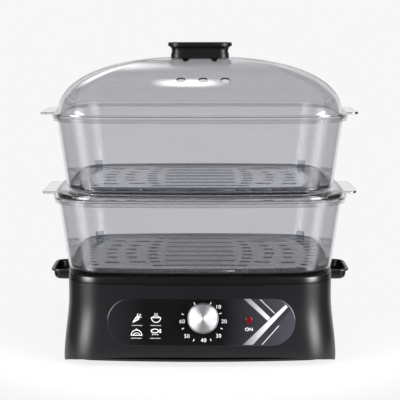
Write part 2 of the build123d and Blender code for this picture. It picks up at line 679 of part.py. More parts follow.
with BuildPart() as panel_backing:
    add(panel_prism(PANEL_MARGIN))
    add(base_form(HOUSING_WALL / 2), mode=Mode.INTERSECT)
    add(base_form(PANEL_SUNK + PANEL_BACKING), mode=Mode.SUBTRACT)
    with BuildSketch(TIMER_PLANE.offset(-WALL_BACK)):
        Rectangle(TIMER_SCREW_SPACING + 4 * TIMER_SCREW_R + 6, 16)
    extrude(amount=PAD_T)
    with BuildSketch(LAMP_PLANE.offset(-WALL_BACK)):
        Circle(LAMP_STEM_R + 6)
    extrude(amount=PAD_T)

with BuildPart() as housing_bosses:
    with BuildSketch(Plane.XY.offset(PLATE_TOP)):
        with GridLocations(2 * BASE_SCREW_X, 2 * BASE_SCREW_Y, 2, 2):
            Circle(BOSS_R)
        for side in (1, -1):
            with GridLocations(2 * BASE_SCREW_X, 1, 2, 1):
                with Locations((0, side * (BASE_SCREW_Y + BOSS_R + 15))):
                    Rectangle(HOUSING_WALL, 2 * BOSS_R + 30)
    extrude(amount=3.2 * BOSS_R)
    add(base_form(HOUSING_WALL / 2), mode=Mode.INTERSECT)
    with BuildSketch(Plane.XY.offset(PLATE_TOP)):
        with GridLocations(2 * BASE_SCREW_X, 2 * BASE_SCREW_Y, 2, 2):
            Circle(SCREW_R)
    extrude(amount=3 * BOSS_R, mode=Mode.SUBTRACT)

with BuildPart() as housing:
    add(base_form())
    add(base_form(HOUSING_WALL), mode=Mode.SUBTRACT)
    add(panel_backing.part)
    add(panel_recess.part, mode=Mode.SUBTRACT)
    with BuildSketch(Plane.XZ.offset(-BASE_HALF_WIDTH)):
        add(arch_face(BASE_HALF_WIDTH + BASE_FLARE - ARCH_CORNER, ARCH_H))
    extrude(amount=2 * BASE_HALF_WIDTH, mode=Mode.SUBTRACT)
    with BuildSketch(Plane.YZ.offset(-2 * BASE_HALF_WIDTH)):
        add(arch_face(BASE_HALF_DEPTH + BASE_FLARE - SIDE_ARCH_CORNER, SIDE_ARCH_H))
    extrude(amount=4 * BASE_HALF_WIDTH, mode=Mode.SUBTRACT)
    add(housing_bosses.part)
    with BuildSketch(Plane.XY.offset(HOUSING_H - SCOOP_H - FIT)):
        Rectangle(2 * SCOOP_TIP, 2 * (SCOOP_HALF_LENGTH + FIT))
    extrude(amount=SCOOP_H + 1, mode=Mode.SUBTRACT)
    with BuildSketch(TIMER_PLANE.offset(-WALL_BACK)):
        Circle(SHAFT_R + 1.5)
        with GridLocations(TIMER_SCREW_SPACING, 1, 2, 1):
            Circle(TIMER_SCREW_R + FIT)
    extrude(amount=2 * WALL_BACK, mode=Mode.SUBTRACT)
    with BuildSketch(TIMER_PLANE.offset(-TIMER_SCREW_HEAD - SCREW_HEAD_H)):
        with GridLocations(TIMER_SCREW_SPACING, 1, 2, 1):
            Circle(SCREW_HEAD_R + FIT)
    extrude(amount=WALL_BACK, mode=Mode.SUBTRACT)
    with BuildSketch(LAMP_PLANE.offset(-WALL_BACK)):
        Circle(LAMP_STEM_R + FIT)
    extrude(amount=2 * WALL_BACK, mode=Mode.SUBTRACT)
    with BuildSketch(INLET_PLANE):
        Circle(INLET_R + FIT)
    extrude(amount=2 * HOUSING_WALL, both=True, mode=Mode.SUBTRACT)
housing.part.label = "housing"
export_step(housing.part, "parts/housing.step")


# ---------------------------------------------------------------- timer
CASE_FRONT = -WALL_BACK                      # along the shaft, out of the panel
CASE_BACK = CASE_FRONT - CASE_DEPTH
BEARING_R = SHAFT_R + SHAFT_CLEARANCE
SHAFT_END = CASE_BACK - CASE_WALL
DIAL_TOP = DIAL_GAP + DIAL_H
DIAL_BORE = DIAL_H - 2.0

with BuildPart() as timer_case:
    with BuildSketch(TIMER_PLANE.offset(CASE_BACK)):
        RectangleRounded(CASE_WIDTH, CASE_HEIGHT, 3)
    extrude(amount=CASE_DEPTH)
    with BuildSketch(TIMER_PLANE.offset(CASE_BACK)):
        RectangleRounded(CASE_WIDTH - 2 * CASE_WALL, CASE_HEIGHT - 2 * CASE_WALL, 3 - CASE_WALL)
    extrude(amount=CASE_DEPTH - CASE_WALL, mode=Mode.SUBTRACT)
    with BuildSketch(TIMER_PLANE.offset(CASE_FRONT - 4 * CASE_WALL)):
        with GridLocations(TIMER_SCREW_SPACING, 1, 2, 1):
            Circle(2 * TIMER_SCREW_R)
    extrude(amount=4 * CASE_WALL)
    with BuildSketch(TIMER_PLANE.offset(CASE_FRONT - 5 * CASE_WALL)):
        Circle(BEARING_R)
        with GridLocations(TIMER_SCREW_SPACING, 1, 2, 1):
            Circle(TIMER_SCREW_R)
    extrude(amount=5 * CASE_WALL, mode=Mode.SUBTRACT)
    with BuildSketch(TIMER_PLANE.offset(CASE_FRONT - CASE_WALL - 10)):
        with Locations((0, -CASE_HEIGHT / 2)):
            Rectangle(20 + 2 * FIT, 4 * CASE_WALL)
    extrude(amount=8 + FIT, mode=Mode.SUBTRACT)
timer_case.part.label = "timer_case"
export_step(timer_case.part, "parts/timer_case.step")

with BuildPart() as timer_back:
    with BuildSketch(TIMER_PLANE.offset(SHAFT_END)):
        RectangleRounded(CASE_WIDTH, CASE_HEIGHT, 3)
        Circle(BEARING_R, mode=Mode.SUBTRACT)
        with Locations((BELL_R / 2, 0)):
            Circle(TIMER_SCREW_R, mode=Mode.SUBTRACT)
    extrude(amount=CASE_WALL)
timer_back.part.label = "timer_back"
export_step(timer_back.part, "parts/timer_back.step")

with BuildPart() as timer_mainspring:
    with BuildSketch(TIMER_PLANE.offset(CASE_BACK)):
        Circle(SPRING_R)
        Circle(SHAFT_R + 1, mode=Mode.SUBTRACT)
    extrude(amount=SPRING_T)
timer_mainspring.part.label = "timer_mainspring"
export_step(timer_mainspring.part, "parts/timer_mainspring.step")

with BuildPart() as timer_bell:
    with BuildSketch(TIMER_PLANE.offset(SHAFT_END - 2 - BELL_H)):
        with Locations((BELL_R / 2, 0)):
            Circle(BELL_R)
    extrude(amount=BELL_H)
    fillet(timer_bell.faces().sort_by(Axis.Y)[-1].edges(), BELL_H / 2)
    with BuildSketch(TIMER_PLANE.offset(SHAFT_END - 1 - BELL_H)):
        with Locations((BELL_R / 2, 0)):
            Circle(BELL_R - BELL_H / 4)
    extrude(amount=BELL_H, mode=Mode.SUBTRACT)
    with BuildSketch(TIMER_PLANE.offset(SHAFT_END - 1 - BELL_H)):
        with Locations((BELL_R / 2, 0)):
            Circle(TIMER_SCREW_R)
    extrude(amount=1 + BELL_H + CASE_WALL)
timer_bell.part.label = "timer_bell"
export_step(timer_bell.part, "parts/timer_bell.step")

with BuildPart() as timer_shaft:
    with BuildSketch(TIMER_PLANE.offset(SHAFT_END)):
        Circle(SHAFT_R)
    extrude(amount=DIAL_GAP + DIAL_BORE - SHAFT_END)
    with BuildSketch(TIMER_PLANE.offset(DIAL_GAP)):
        with Locations((0, 1.5 * SHAFT_R)):
            Rectangle(2 * SHAFT_R, 2 * SHAFT_R)
    extrude(amount=DIAL_H, mode=Mode.SUBTRACT)
timer_shaft.part.label = "timer_shaft"
export_step(timer_shaft.part, "parts/timer_shaft.step")

with BuildPart() as timer_cam:
    with BuildSketch(TIMER_PLANE.offset(CASE_FRONT - CASE_WALL - 4 - CAM_T)):
        Circle(CAM_R)
        with Locations((0, CAM_R)):
            Circle(2.5, mode=Mode.SUBTRACT)
        Circle(SHAFT_R, mode=Mode.SUBTRACT)
    extrude(amount=CAM_T)
timer_cam.part.label = "timer_cam"
export_step(timer_cam.part, "parts/timer_cam.step")

with BuildPart() as timer_knob:
    with BuildSketch(TIMER_PLANE.offset(DIAL_GAP)):
        Circle(DIAL_R - DIAL_WAIST)
    with BuildSketch(TIMER_PLANE.offset(DIAL_TOP - DIAL_RIM_T)):
        Circle(DIAL_R)
    loft()
    with BuildSketch(TIMER_PLANE.offset(DIAL_TOP - DIAL_RIM_T)):
        Circle(DIAL_R)
    extrude(amount=DIAL_RIM_T)
    with BuildSketch(TIMER_PLANE.offset(DIAL_TOP - DIAL_CAP_T / 2)):
        Circle(DIAL_CAP_R + FIT)
    extrude(amount=DIAL_CAP_T, mode=Mode.SUBTRACT)
    with BuildSketch(TIMER_PLANE.offset(DIAL_GAP)):
        Circle(SHAFT_R)
        with Locations((0, 1.5 * SHAFT_R)):
            Rectangle(2 * SHAFT_R, 2 * SHAFT_R, mode=Mode.SUBTRACT)
    extrude(amount=DIAL_BORE, mode=Mode.SUBTRACT)
timer_knob.part.label = "timer_knob"
export_step(timer_knob.part, "parts/timer_knob.step")

with BuildPart() as timer_knob_cap:
    with BuildSketch(TIMER_PLANE.offset(DIAL_TOP - DIAL_CAP_T / 2)):
        Circle(DIAL_CAP_R)
    extrude(amount=DIAL_CAP_T)
    fillet(timer_knob_cap.faces().sort_by(Axis.Y)[0].edges(), DIAL_CAP_T / 3)
timer_knob_cap.part.label = "timer_knob_cap"
export_step(timer_knob_cap.part, "parts/timer_knob_cap.step")

LEAF_SPACING = 9.0
CONTACT_Z = CASE_FRONT - CASE_WALL - 10
TAB_END = -CASE_HEIGHT / 2 - 8
with BuildPart() as timer_contacts:
    with BuildSketch(TIMER_PLANE.offset(CONTACT_Z)):
        with Locations((0, -CASE_HEIGHT / 2 + 1.5)):
            Rectangle(20, 5)
    extrude(amount=8)
    with BuildSketch(TIMER_PLANE.offset(CONTACT_Z + 1)):
        with GridLocations(LEAF_SPACING, 1, 2, 1):
            with Locations((0, (TAB_END - CAM_R - 0.8) / 2)):
                Rectangle(0.8, -CAM_R - 0.8 - TAB_END)
    extrude(amount=6)
timer_contacts.part.label = "timer_contacts"
export_step(timer_contacts.part, "parts/timer_contacts.step")

with BuildPart() as timer_screws:
    with BuildSketch(TIMER_PLANE.offset(-TIMER_SCREW_HEAD - SCREW_HEAD_H)):
        with GridLocations(TIMER_SCREW_SPACING, 1, 2, 1):
            Circle(SCREW_HEAD_R)
    extrude(amount=SCREW_HEAD_H)
    with BuildSketch(TIMER_PLANE.offset(CASE_FRONT - 4 * CASE_WALL)):
        with GridLocations(TIMER_SCREW_SPACING, 1, 2, 1):
            Circle(TIMER_SCREW_R)
    extrude(amount=4 * CASE_WALL - CASE_FRONT - TIMER_SCREW_HEAD - SCREW_HEAD_H)
timer_screws.part.label = "timer_screws"
export_step(timer_screws.part, "parts/timer_screws.step")


# ---------------------------------------------------------------- lamp
with BuildPart() as lamp_lens:
    with BuildSketch(LAMP_PLANE.offset(-LAMP_STEM_L)):
        Circle(LAMP_STEM_R)
    extrude(amount=LAMP_STEM_L + PANEL_RAISED + FIT)
    with BuildSketch(LAMP_PLANE.offset(PANEL_RAISED + FIT)):
        Circle(LAMP_R)
    extrude(amount=1.6)
    fillet(lamp_lens.faces().sort_by(Axis.Y)[0].edges(), 1.0)
    with BuildSketch(LAMP_PLANE.offset(-LAMP_STEM_L)):
        Circle(BULB_R + FIT)
    extrude(amount=LAMP_STEM_L - 1, mode=Mode.SUBTRACT)
lamp_lens.part.label = "lamp_lens"
export_step(lamp_lens.part, "parts/lamp_lens.step")

with BuildPart() as lamp_bulb:
    with BuildSketch(LAMP_PLANE.offset(-LAMP_STEM_L - 2)):
        Circle(BULB_R)
    extrude(amount=LAMP_STEM_L + 1)
    fillet(lamp_bulb.faces().sort_by(Axis.Y)[0].edges(), BULB_R * 0.9)
lamp_bulb.part.label = "lamp_bulb"
export_step(lamp_bulb.part, "parts/lamp_bulb.step")

with BuildPart() as lamp_clip:
    with BuildSketch(LAMP_PLANE.offset(-WALL_BACK - 0.8)):
        Circle(LAMP_STEM_R + 4)
        Circle(LAMP_STEM_R, mode=Mode.SUBTRACT)
    extrude(amount=0.8)
lamp_clip.part.label = "lamp_clip"
export_step(lamp_clip.part, "parts/lamp_clip.step")


# ---------------------------------------------------------------- heater
SEAL_TOP = TANK_FLOOR_TOP + SEAL_T
BOSS_BOTTOM = TANK_FLOOR_Z - HEATER_BOSS_H
CLAMP_BOTTOM = TANK_FLOOR_Z - CLAMP_T
STUD_END = CLAMP_BOTTOM - STRAP_T - NUT_H - 1
THERMOSTAT_BOTTOM = BOSS_BOTTOM - THERMOSTAT_H


def stud_circles(radius, mode=Mode.ADD):
    """One circle at each of the heater's studs."""
    with Locations((0, HEATER_Y)):
        with PolarLocations(STUD_CIRCLE_R, 4):
            Circle(radius, mode=mode)


def heater_ring(outer, inner):
    """Ring about the heater's axis."""
    with Locations((0, HEATER_Y)):
        Circle(outer)
        Circle(inner, mode=Mode.SUBTRACT)


with BuildPart() as heater_plate:
    with BuildSketch(Plane.XY.offset(SEAL_TOP)):
        with Locations((0, HEATER_Y)):
            Circle(HEATER_R)
    extrude(amount=HEATER_PLATE_T)
    with BuildSketch(Plane.XY.offset(BOSS_BOTTOM)):
        with Locations((0, HEATER_Y)):
            Circle(HEATER_HOLE_R - LIFT_FIT)
    extrude(amount=SEAL_TOP - BOSS_BOTTOM)
    with BuildSketch(Plane.XY.offset(STUD_END)):
        stud_circles(STUD_R)
    extrude(amount=SEAL_TOP - STUD_END)
heater_plate.part.label = "heater_plate"
export_step(heater_plate.part, "parts/heater_plate.step")

with BuildPart() as heater_seal:
    with BuildSketch(Plane.XY.offset(TANK_FLOOR_TOP)):
        heater_ring(HEATER_R, HEATER_HOLE_R)
        stud_circles(STUD_R, Mode.SUBTRACT)
    extrude(amount=SEAL_T)
heater_seal.part.label = "heater_seal"
export_step(heater_seal.part, "parts/heater_seal.step")

with BuildPart() as heater_clamp:
    with BuildSketch(Plane.XY.offset(CLAMP_BOTTOM)):
        heater_ring(HEATER_R, HEATER_HOLE_R)
        stud_circles(STUD_R + FIT, Mode.SUBTRACT)
    extrude(amount=CLAMP_T)
heater_clamp.part.label = "heater_clamp"
export_step(heater_clamp.part, "parts/heater_clamp.step")

with BuildPart() as heater_nuts:
    for turn, drop in ((0, STRAP_T), (90, 0)):
        with BuildSketch(Plane.XY.offset(CLAMP_BOTTOM - drop - NUT_H)):
            with Locations((0, HEATER_Y)):
                with PolarLocations(STUD_CIRCLE_R, 2, start_angle=turn):
                    RegularPolygon(NUT_FLATS / 2, 6, major_radius=False)
                    Circle(STUD_R, mode=Mode.SUBTRACT)
        extrude(amount=NUT_H)
heater_nuts.part.label = "heater_nuts"
export_step(heater_nuts.part, "parts/heater_nuts.step")

element_z = BOSS_BOTTOM - ELEMENT_TUBE_R
element_start = 90 + ELEMENT_GAP / 2
with BuildPart() as heating_element:
    with BuildLine(Plane.XY.offset(element_z)) as ring:
        CenterArc((0, HEATER_Y), ELEMENT_R, element_start, 360 - ELEMENT_GAP)
    with BuildSketch(Plane(ring.line ^ 0)):
        Circle(ELEMENT_TUBE_R)
    sweep()
    for angle in (element_start, 180 - element_start):
        along = (cos(radians(angle)), sin(radians(angle)), 0)
        end = (ELEMENT_R * along[0], HEATER_Y + ELEMENT_R * along[1], element_z)
        with Locations(end):
            Sphere(ELEMENT_TUBE_R)
        end_plane = Plane(origin=end, x_dir=(0, 0, 1), z_dir=along)
        with BuildSketch(end_plane):
            Circle(ELEMENT_TUBE_R)
        extrude(amount=24)
        with BuildSketch(end_plane):
            Circle(LEAD_R)
        extrude(amount=32)
heating_element.part.label = "heating_element"
export_step(heating_element.part, "parts/heating_element.step")

with BuildPart() as boil_dry_thermostat:
    with BuildSketch(Plane.XY.offset(THERMOSTAT_BOTTOM)):
        with Locations((0, HEATER_Y)):
            Circle(THERMOSTAT_R)
    extrude(amount=THERMOSTAT_H)
    with BuildSketch(Plane.XY.offset(THERMOSTAT_BOTTOM + THERMOSTAT_H / 2)):
        with Locations((0, HEATER_Y)):
            Rectangle(BLADE_W, 2 * THERMOSTAT_R + 12)
    extrude(amount=0.8)
boil_dry_thermostat.part.label = "boil_dry_thermostat"
export_step(boil_dry_thermostat.part, "parts/boil_dry_thermostat.step")

riser_x = HEATER_HOLE_R + STRAP_T
strap_end_x = STUD_CIRCLE_R + STRAP_W / 2
with BuildPart() as thermostat_bracket:
    with BuildSketch(Plane.XZ.offset(-HEATER_Y)):
        with Locations((0, THERMOSTAT_BOTTOM - STRAP_T / 2)):
            Rectangle(2 * riser_x, STRAP_T)
        for side in (1, -1):
            with Locations((side * (riser_x - STRAP_T / 2), (CLAMP_BOTTOM + THERMOSTAT_BOTTOM) / 2)):
                Rectangle(STRAP_T, CLAMP_BOTTOM - THERMOSTAT_BOTTOM)
            with Locations((side * (riser_x - STRAP_T + strap_end_x) / 2, CLAMP_BOTTOM - STRAP_T / 2)):
                Rectangle(strap_end_x - riser_x + STRAP_T, STRAP_T)
    extrude(amount=STRAP_W / 2, both=True)
    with BuildSketch(Plane.XY.offset(CLAMP_BOTTOM - STRAP_T)):
        stud_circles(STUD_R + FIT)
    extrude(amount=STRAP_T, mode=Mode.SUBTRACT)
thermostat_bracket.part.label = "thermostat_bracket"
export_step(thermostat_bracket.part, "parts/thermostat_bracket.step")

FUSE_X = THERMOSTAT_R + 3 * FUSE_R
fuse_z = THERMOSTAT_BOTTOM + FUSE_R
with BuildPart() as thermal_fuse:
    with BuildSketch(Plane.XZ.offset(-HEATER_Y - FUSE_L / 2)):
        with Locations((FUSE_X, fuse_z)):
            Circle(FUSE_R)
    extrude(amount=FUSE_L)
thermal_fuse.part.label = "thermal_fuse"
export_step(thermal_fuse.part, "parts/thermal_fuse.step")

with BuildPart() as steam_sleeve:
    with BuildSketch(Plane.XY.offset(TANK_FLOOR_TOP)):
        heater_ring(SLEEVE_R, SLEEVE_R - SLEEVE_T)
    extrude(amount=SLEEVE_H)
    with BuildSketch(Plane.XY.offset(TANK_FLOOR_TOP)):
        with Locations((0, HEATER_Y)):
            with PolarLocations(SLEEVE_R, 6):
                Rectangle(4 * SLEEVE_T, 12)
    extrude(amount=5, mode=Mode.SUBTRACT)
steam_sleeve.part.label = "steam_sleeve"
export_step(steam_sleeve.part, "parts/steam_sleeve.step")


# ---------------------------------------------------------------- underside
plate_outline = base_outline(PLATE_Z, HOUSING_WALL + 2 * FIT)


def screw_group(spacing_x, spacing_y, length):
    """Four pan-head screws from below, their heads under the base plate."""
    with BuildPart() as screws:
        with BuildSketch(Plane.XY.offset(PLATE_Z - SCREW_HEAD_H)):
            with GridLocations(spacing_x, spacing_y, 2, 2):
                Circle(SCREW_HEAD_R)
        extrude(amount=SCREW_HEAD_H)
        with BuildSketch(Plane.XY.offset(PLATE_Z)):
            with GridLocations(spacing_x, spacing_y, 2, 2):
                Circle(SCREW_R)
        extrude(amount=length)
        with BuildSketch(Plane.XY.offset(PLATE_Z - SCREW_HEAD_H)):
            with GridLocations(spacing_x, spacing_y, 2, 2):
                Rectangle(4, 0.9)
                Rectangle(0.9, 4)
        extrude(amount=1.2, mode=Mode.SUBTRACT)
    return screws


with BuildPart() as base_plate:
    with BuildSketch(Plane.XY.offset(PLATE_Z)):
        add(plate_outline)
        with GridLocations(2 * BASE_SCREW_X, 2 * BASE_SCREW_Y, 2, 2):
            Circle(SCREW_R + FIT, mode=Mode.SUBTRACT)
        with GridLocations(2 * TANK_SCREW_X, 2 * TANK_SCREW_Y, 2, 2):
            Circle(SCREW_R + FIT, mode=Mode.SUBTRACT)
        with GridLocations(2 * FOOT_X, 2 * FOOT_Y, 2, 2):
            Circle(FOOT_R / 3, mode=Mode.SUBTRACT)
        with GridLocations(12, 1, 7, 1):
            SlotOverall(40, 4, rotation=90, mode=Mode.SUBTRACT)
    extrude(amount=PLATE_T)
base_plate.part.label = "base_plate"
export_step(base_plate.part, "parts/base_plate.step")

with BuildPart() as rubber_feet:
    with GridLocations(2 * FOOT_X, 2 * FOOT_Y, 2, 2):
        Cylinder(FOOT_R, PLATE_Z, align=(Align.CENTER, Align.CENTER, Align.MIN))
        Cylinder(FOOT_R / 3, PLATE_TOP, align=(Align.CENTER, Align.CENTER, Align.MIN))
    with Locations((0, 0, PLATE_TOP)):
        with GridLocations(2 * FOOT_X, 2 * FOOT_Y, 2, 2):
            Cylinder(FOOT_R / 2, 1.5, align=(Align.CENTER, Align.CENTER, Align.MIN))
rubber_feet.part.label = "rubber_feet"
export_step(rubber_feet.part, "parts/rubber_feet.step")

base_screws = screw_group(2 * BASE_SCREW_X, 2 * BASE_SCREW_Y, PLATE_T + 10)
base_screws.part.label = "base_screws"
export_step(base_screws.part, "parts/base_screws.step")

tank_screws = screw_group(2 * TANK_SCREW_X, 2 * TANK_SCREW_Y, PLATE_T + 14)
tank_screws.part.label = "tank_screws"
export_step(tank_screws.part, "parts/tank_screws.step")


# ---------------------------------------------------------------- mains inlet and wiring
with BuildPart() as cord_bush:
    with BuildSketch(INLET_PLANE.offset(-HOUSING_WALL - 2.5)):
        Circle(INLET_R + 2)
    extrude(amount=2.2)
    with BuildSketch(INLET_PLANE.offset(-HOUSING_WALL - 1)):
        Circle(INLET_R)
    extrude(amount=HOUSING_WALL + 2)
    with BuildSketch(INLET_PLANE.offset(0.3)):
        Circle(BUSH_FLANGE_R)
    extrude(amount=2)
    with BuildSketch(INLET_PLANE):
        Circle(CORD_R + FIT)
    extrude(amount=10, both=True, mode=Mode.SUBTRACT)
cord_bush.part.label = "cord_bush"
export_step(cord_bush.part, "parts/cord_bush.step")

CLAMP_FOOT = 8.0
CLAMP_SPACING = 2 * CORD_R + CLAMP_FOOT + 1
with BuildPart() as cord_clamp:
    with Locations((INLET_X, CLAMP_Y, PLATE_TOP)):
        Box(CLAMP_SPACING + CLAMP_FOOT, CLAMP_FOOT, 2 * CORD_R + 3,
            align=(Align.CENTER, Align.CENTER, Align.MIN))
        Box(2 * CORD_R + 0.6, CLAMP_FOOT, 2 * CORD_R, mode=Mode.SUBTRACT,
            align=(Align.CENTER, Align.CENTER, Align.MIN))
        with GridLocations(CLAMP_SPACING, 1, 2, 1):
            Cylinder(SCREW_R, 4 * CORD_R, mode=Mode.SUBTRACT,
                     align=(Align.CENTER, Align.CENTER, Align.MIN))
cord_clamp.part.label = "cord_clamp"
export_step(cord_clamp.part, "parts/cord_clamp.step")

with BuildPart() as cord_clamp_screws:
    with Locations((INLET_X, CLAMP_Y, PLATE_TOP)):
        with GridLocations(CLAMP_SPACING, 1, 2, 1):
            Cylinder(SCREW_R, 2 * CORD_R + 3, align=(Align.CENTER, Align.CENTER, Align.MIN))
    with Locations((INLET_X, CLAMP_Y, PLATE_TOP + 2 * CORD_R + 3)):
        with GridLocations(CLAMP_SPACING, 1, 2, 1):
            Cylinder(SCREW_HEAD_R, SCREW_HEAD_H, align=(Align.CENTER, Align.CENTER, Align.MIN))
cord_clamp_screws.part.label = "cord_clamp_screws"
export_step(cord_clamp_screws.part, "parts/cord_clamp_screws.step")

WAY_PITCH = 10.0
WIRE_Z = PLATE_TOP + 4
with BuildPart() as terminal_block:
    with Locations((BLOCK_X, BLOCK_Y, PLATE_TOP)):
        Box(BLOCK_LENGTH, BLOCK_WIDTH, BLOCK_H, align=(Align.CENTER, Align.CENTER, Align.MIN))
    with BuildSketch(Plane.XY.offset(PLATE_TOP + BLOCK_H)):
        with Locations((BLOCK_X, BLOCK_Y)):
            with GridLocations(WAY_PITCH, WAY_PITCH, 3, 2):
                Circle(2.5)
    extrude(amount=-BLOCK_H / 2, mode=Mode.SUBTRACT)
    with BuildSketch(Plane.XZ.offset(-BLOCK_Y)):
        with Locations((BLOCK_X, WIRE_Z)):
            with GridLocations(WAY_PITCH, 1, 3, 1):
                Circle(LEAD_R + FIT)
    extrude(amount=BLOCK_WIDTH, both=True, mode=Mode.SUBTRACT)
terminal_block.part.label = "terminal_block"
export_step(terminal_block.part, "parts/terminal_block.step")

with BuildPart() as terminal_screws:
    with BuildSketch(Plane.XY.offset(PLATE_TOP + BLOCK_H / 2)):
        with Locations((BLOCK_X, BLOCK_Y)):
            with GridLocations(WAY_PITCH, WAY_PITCH, 3, 2):
                Circle(2.5 - FIT)
    extrude(amount=BLOCK_H / 3)
terminal_screws.part.label = "terminal_screws"
export_step(terminal_screws.part, "parts/terminal_screws.step")


def build_lead(points, bend):
    """Insulated wire along straight runs joined by tangent arcs."""
    with BuildPart() as lead:
        with BuildLine() as route:
            FilletPolyline(*points, radius=bend)
        with BuildSketch(Plane(route.line ^ 0)):
            Circle(LEAD_R)
        sweep()
    return lead


def contact_tab(side):
    """Tip of one of the timer's two contact tabs."""
    return TIMER_PLANE.from_local_coords(Vector(side * LEAF_SPACING / 2, TAB_END - FIT, CONTACT_Z + 4))


def element_pin(side):
    """Tip of one of the heating element's two pins."""
    reach = ELEMENT_R + 32 + FIT
    angle = radians(90 - side * ELEMENT_GAP / 2)
    return Vector(reach * cos(angle), HEATER_Y + reach * sin(angle), element_z)


block_front = BLOCK_Y - BLOCK_WIDTH / 2
block_back = BLOCK_Y + BLOCK_WIDTH / 2
lead_floor = PLATE_TOP + 5
tab = contact_tab(1)
live_lead = build_lead([tab, (tab.X, tab.Y, lead_floor), (60, -40, lead_floor),
                        (BLOCK_X, 20, WIRE_Z), (BLOCK_X, block_front, WIRE_Z)], 6)
live_lead.part.label = "live_lead"
export_step(live_lead.part, "parts/live_lead.step")

tab = contact_tab(-1)
fuse_front = HEATER_Y - FUSE_L / 2
switched_lead = build_lead([tab, (tab.X, tab.Y, lead_floor + 4), (FUSE_X, -34, lead_floor + 2),
                            (FUSE_X, fuse_front - 18, fuse_z - 7), (FUSE_X, fuse_front - 6, fuse_z),
                            (FUSE_X, fuse_front - FIT, fuse_z)], 5)
switched_lead.part.label = "switched_lead"
export_step(switched_lead.part, "parts/switched_lead.step")

fuse_back = HEATER_Y + FUSE_L / 2
blade_y = THERMOSTAT_R + 6
blade_z = THERMOSTAT_BOTTOM + THERMOSTAT_H / 2
blade_side = BLADE_W / 2 + FIT
fuse_lead = build_lead([(FUSE_X, fuse_back + FIT, fuse_z), (FUSE_X, fuse_back + 6, fuse_z),
                        (blade_side, HEATER_Y + blade_y - LEAD_R, blade_z)], 3.6)
fuse_lead.part.label = "fuse_lead"
export_step(fuse_lead.part, "parts/fuse_lead.step")

pin = element_pin(-1)
element_lead = build_lead([(0, HEATER_Y - blade_y - FIT, blade_z), (0, HEATER_Y - blade_y - 8, blade_z - 4),
                           (-14, HEATER_Y - blade_y - 12, 20), (-44, 26, 20), (-44, 74, 24),
                           (pin.X - 2, pin.Y + 4, pin.Z)], 3.6)
element_lead.part.label = "element_lead"
export_step(element_lead.part, "parts/element_lead.step")

pin = element_pin(1)
neutral_lead = build_lead([pin, (pin.X + 4, pin.Y + 7, pin.Z), (BLOCK_X - 20, block_back + 8, WIRE_Z + 8),
                           (BLOCK_X, block_back + 8, WIRE_Z), (BLOCK_X, block_back - 2, WIRE_Z)], 3.6)
neutral_lead.part.label = "neutral_lead"
export_step(neutral_lead.part, "parts/neutral_lead.step")

lamp_end = LAMP_PLANE.from_local_coords(Vector(0, 0, -LAMP_STEM_L - 2 - 2 * FIT))
lamp_lead = build_lead([lamp_end, (lamp_end.X, lamp_end.Y + 12, lamp_end.Z),
                        (lamp_end.X + 20, lamp_end.Y + 16, lead_floor + 4),
                        (BLOCK_X + WAY_PITCH, 0, lead_floor + 4),
                        (BLOCK_X + WAY_PITCH, block_front - 10, WIRE_Z),
                        (BLOCK_X + WAY_PITCH, block_front, WIRE_Z)], 4)
lamp_lead.part.label = "lamp_lead"
export_step(lamp_lead.part, "parts/lamp_lead.step")
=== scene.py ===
# %% [markdown]
# # A two-tier food steamer
# The steamer is a stack: a dark heated base, two clear baskets with slotted floors, and a clear
# domed lid. The CAD frame already holds every piece at its true size. Here the pieces that the eye
# meets are modelled again with soft edges and smooth walls, and every piece gets its finish.

# %% Open the frame
import json
from math import atan2, cos, pi, radians, sin, sqrt

import bmesh
import bpy
from mathutils import Matrix, Vector


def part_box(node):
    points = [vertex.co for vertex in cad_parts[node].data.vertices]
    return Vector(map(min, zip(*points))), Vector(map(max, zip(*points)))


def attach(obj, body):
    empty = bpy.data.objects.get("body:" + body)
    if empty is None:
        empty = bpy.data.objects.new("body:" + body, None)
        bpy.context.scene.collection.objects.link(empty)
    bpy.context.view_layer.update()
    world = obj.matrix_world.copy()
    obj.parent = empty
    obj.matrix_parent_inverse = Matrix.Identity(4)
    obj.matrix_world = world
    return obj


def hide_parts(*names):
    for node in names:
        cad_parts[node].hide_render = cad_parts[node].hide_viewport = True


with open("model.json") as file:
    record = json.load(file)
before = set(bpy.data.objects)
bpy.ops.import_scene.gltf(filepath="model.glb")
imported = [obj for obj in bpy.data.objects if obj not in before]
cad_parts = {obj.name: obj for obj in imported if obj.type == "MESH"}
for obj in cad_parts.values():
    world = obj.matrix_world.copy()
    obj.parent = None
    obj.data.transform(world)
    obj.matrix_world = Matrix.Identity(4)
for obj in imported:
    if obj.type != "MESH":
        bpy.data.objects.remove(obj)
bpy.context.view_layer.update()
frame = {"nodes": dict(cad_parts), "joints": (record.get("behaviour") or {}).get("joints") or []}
MM = 0.001
nodes = frame["nodes"]

# %% [markdown]
# ## Levels and reaches
# Pieces are placed by the frame: where one ends and the next begins is read from the CAD boxes, so
# the looks follow the construction. Only shapes that a box can't tell, such as how a wall bows,
# are values of their own.

# %% Read the main levels from the frame
FRONT_BOW = 9.0 * MM         # how far the long sides bow outwards
SIDE_BOW = 6.0 * MM
CORNER = 45.0 * MM
HOUSING_TOP = 96.8 * MM      # parting line between housing and tank
TOP_SHARE = 0.985            # the dome ends in a small flat at this share of its height


def top_of(node):
    """Height of a node's highest point."""
    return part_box(node)[1].z


def foot_of(node):
    """Height of a node's lowest point."""
    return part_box(node)[0].z


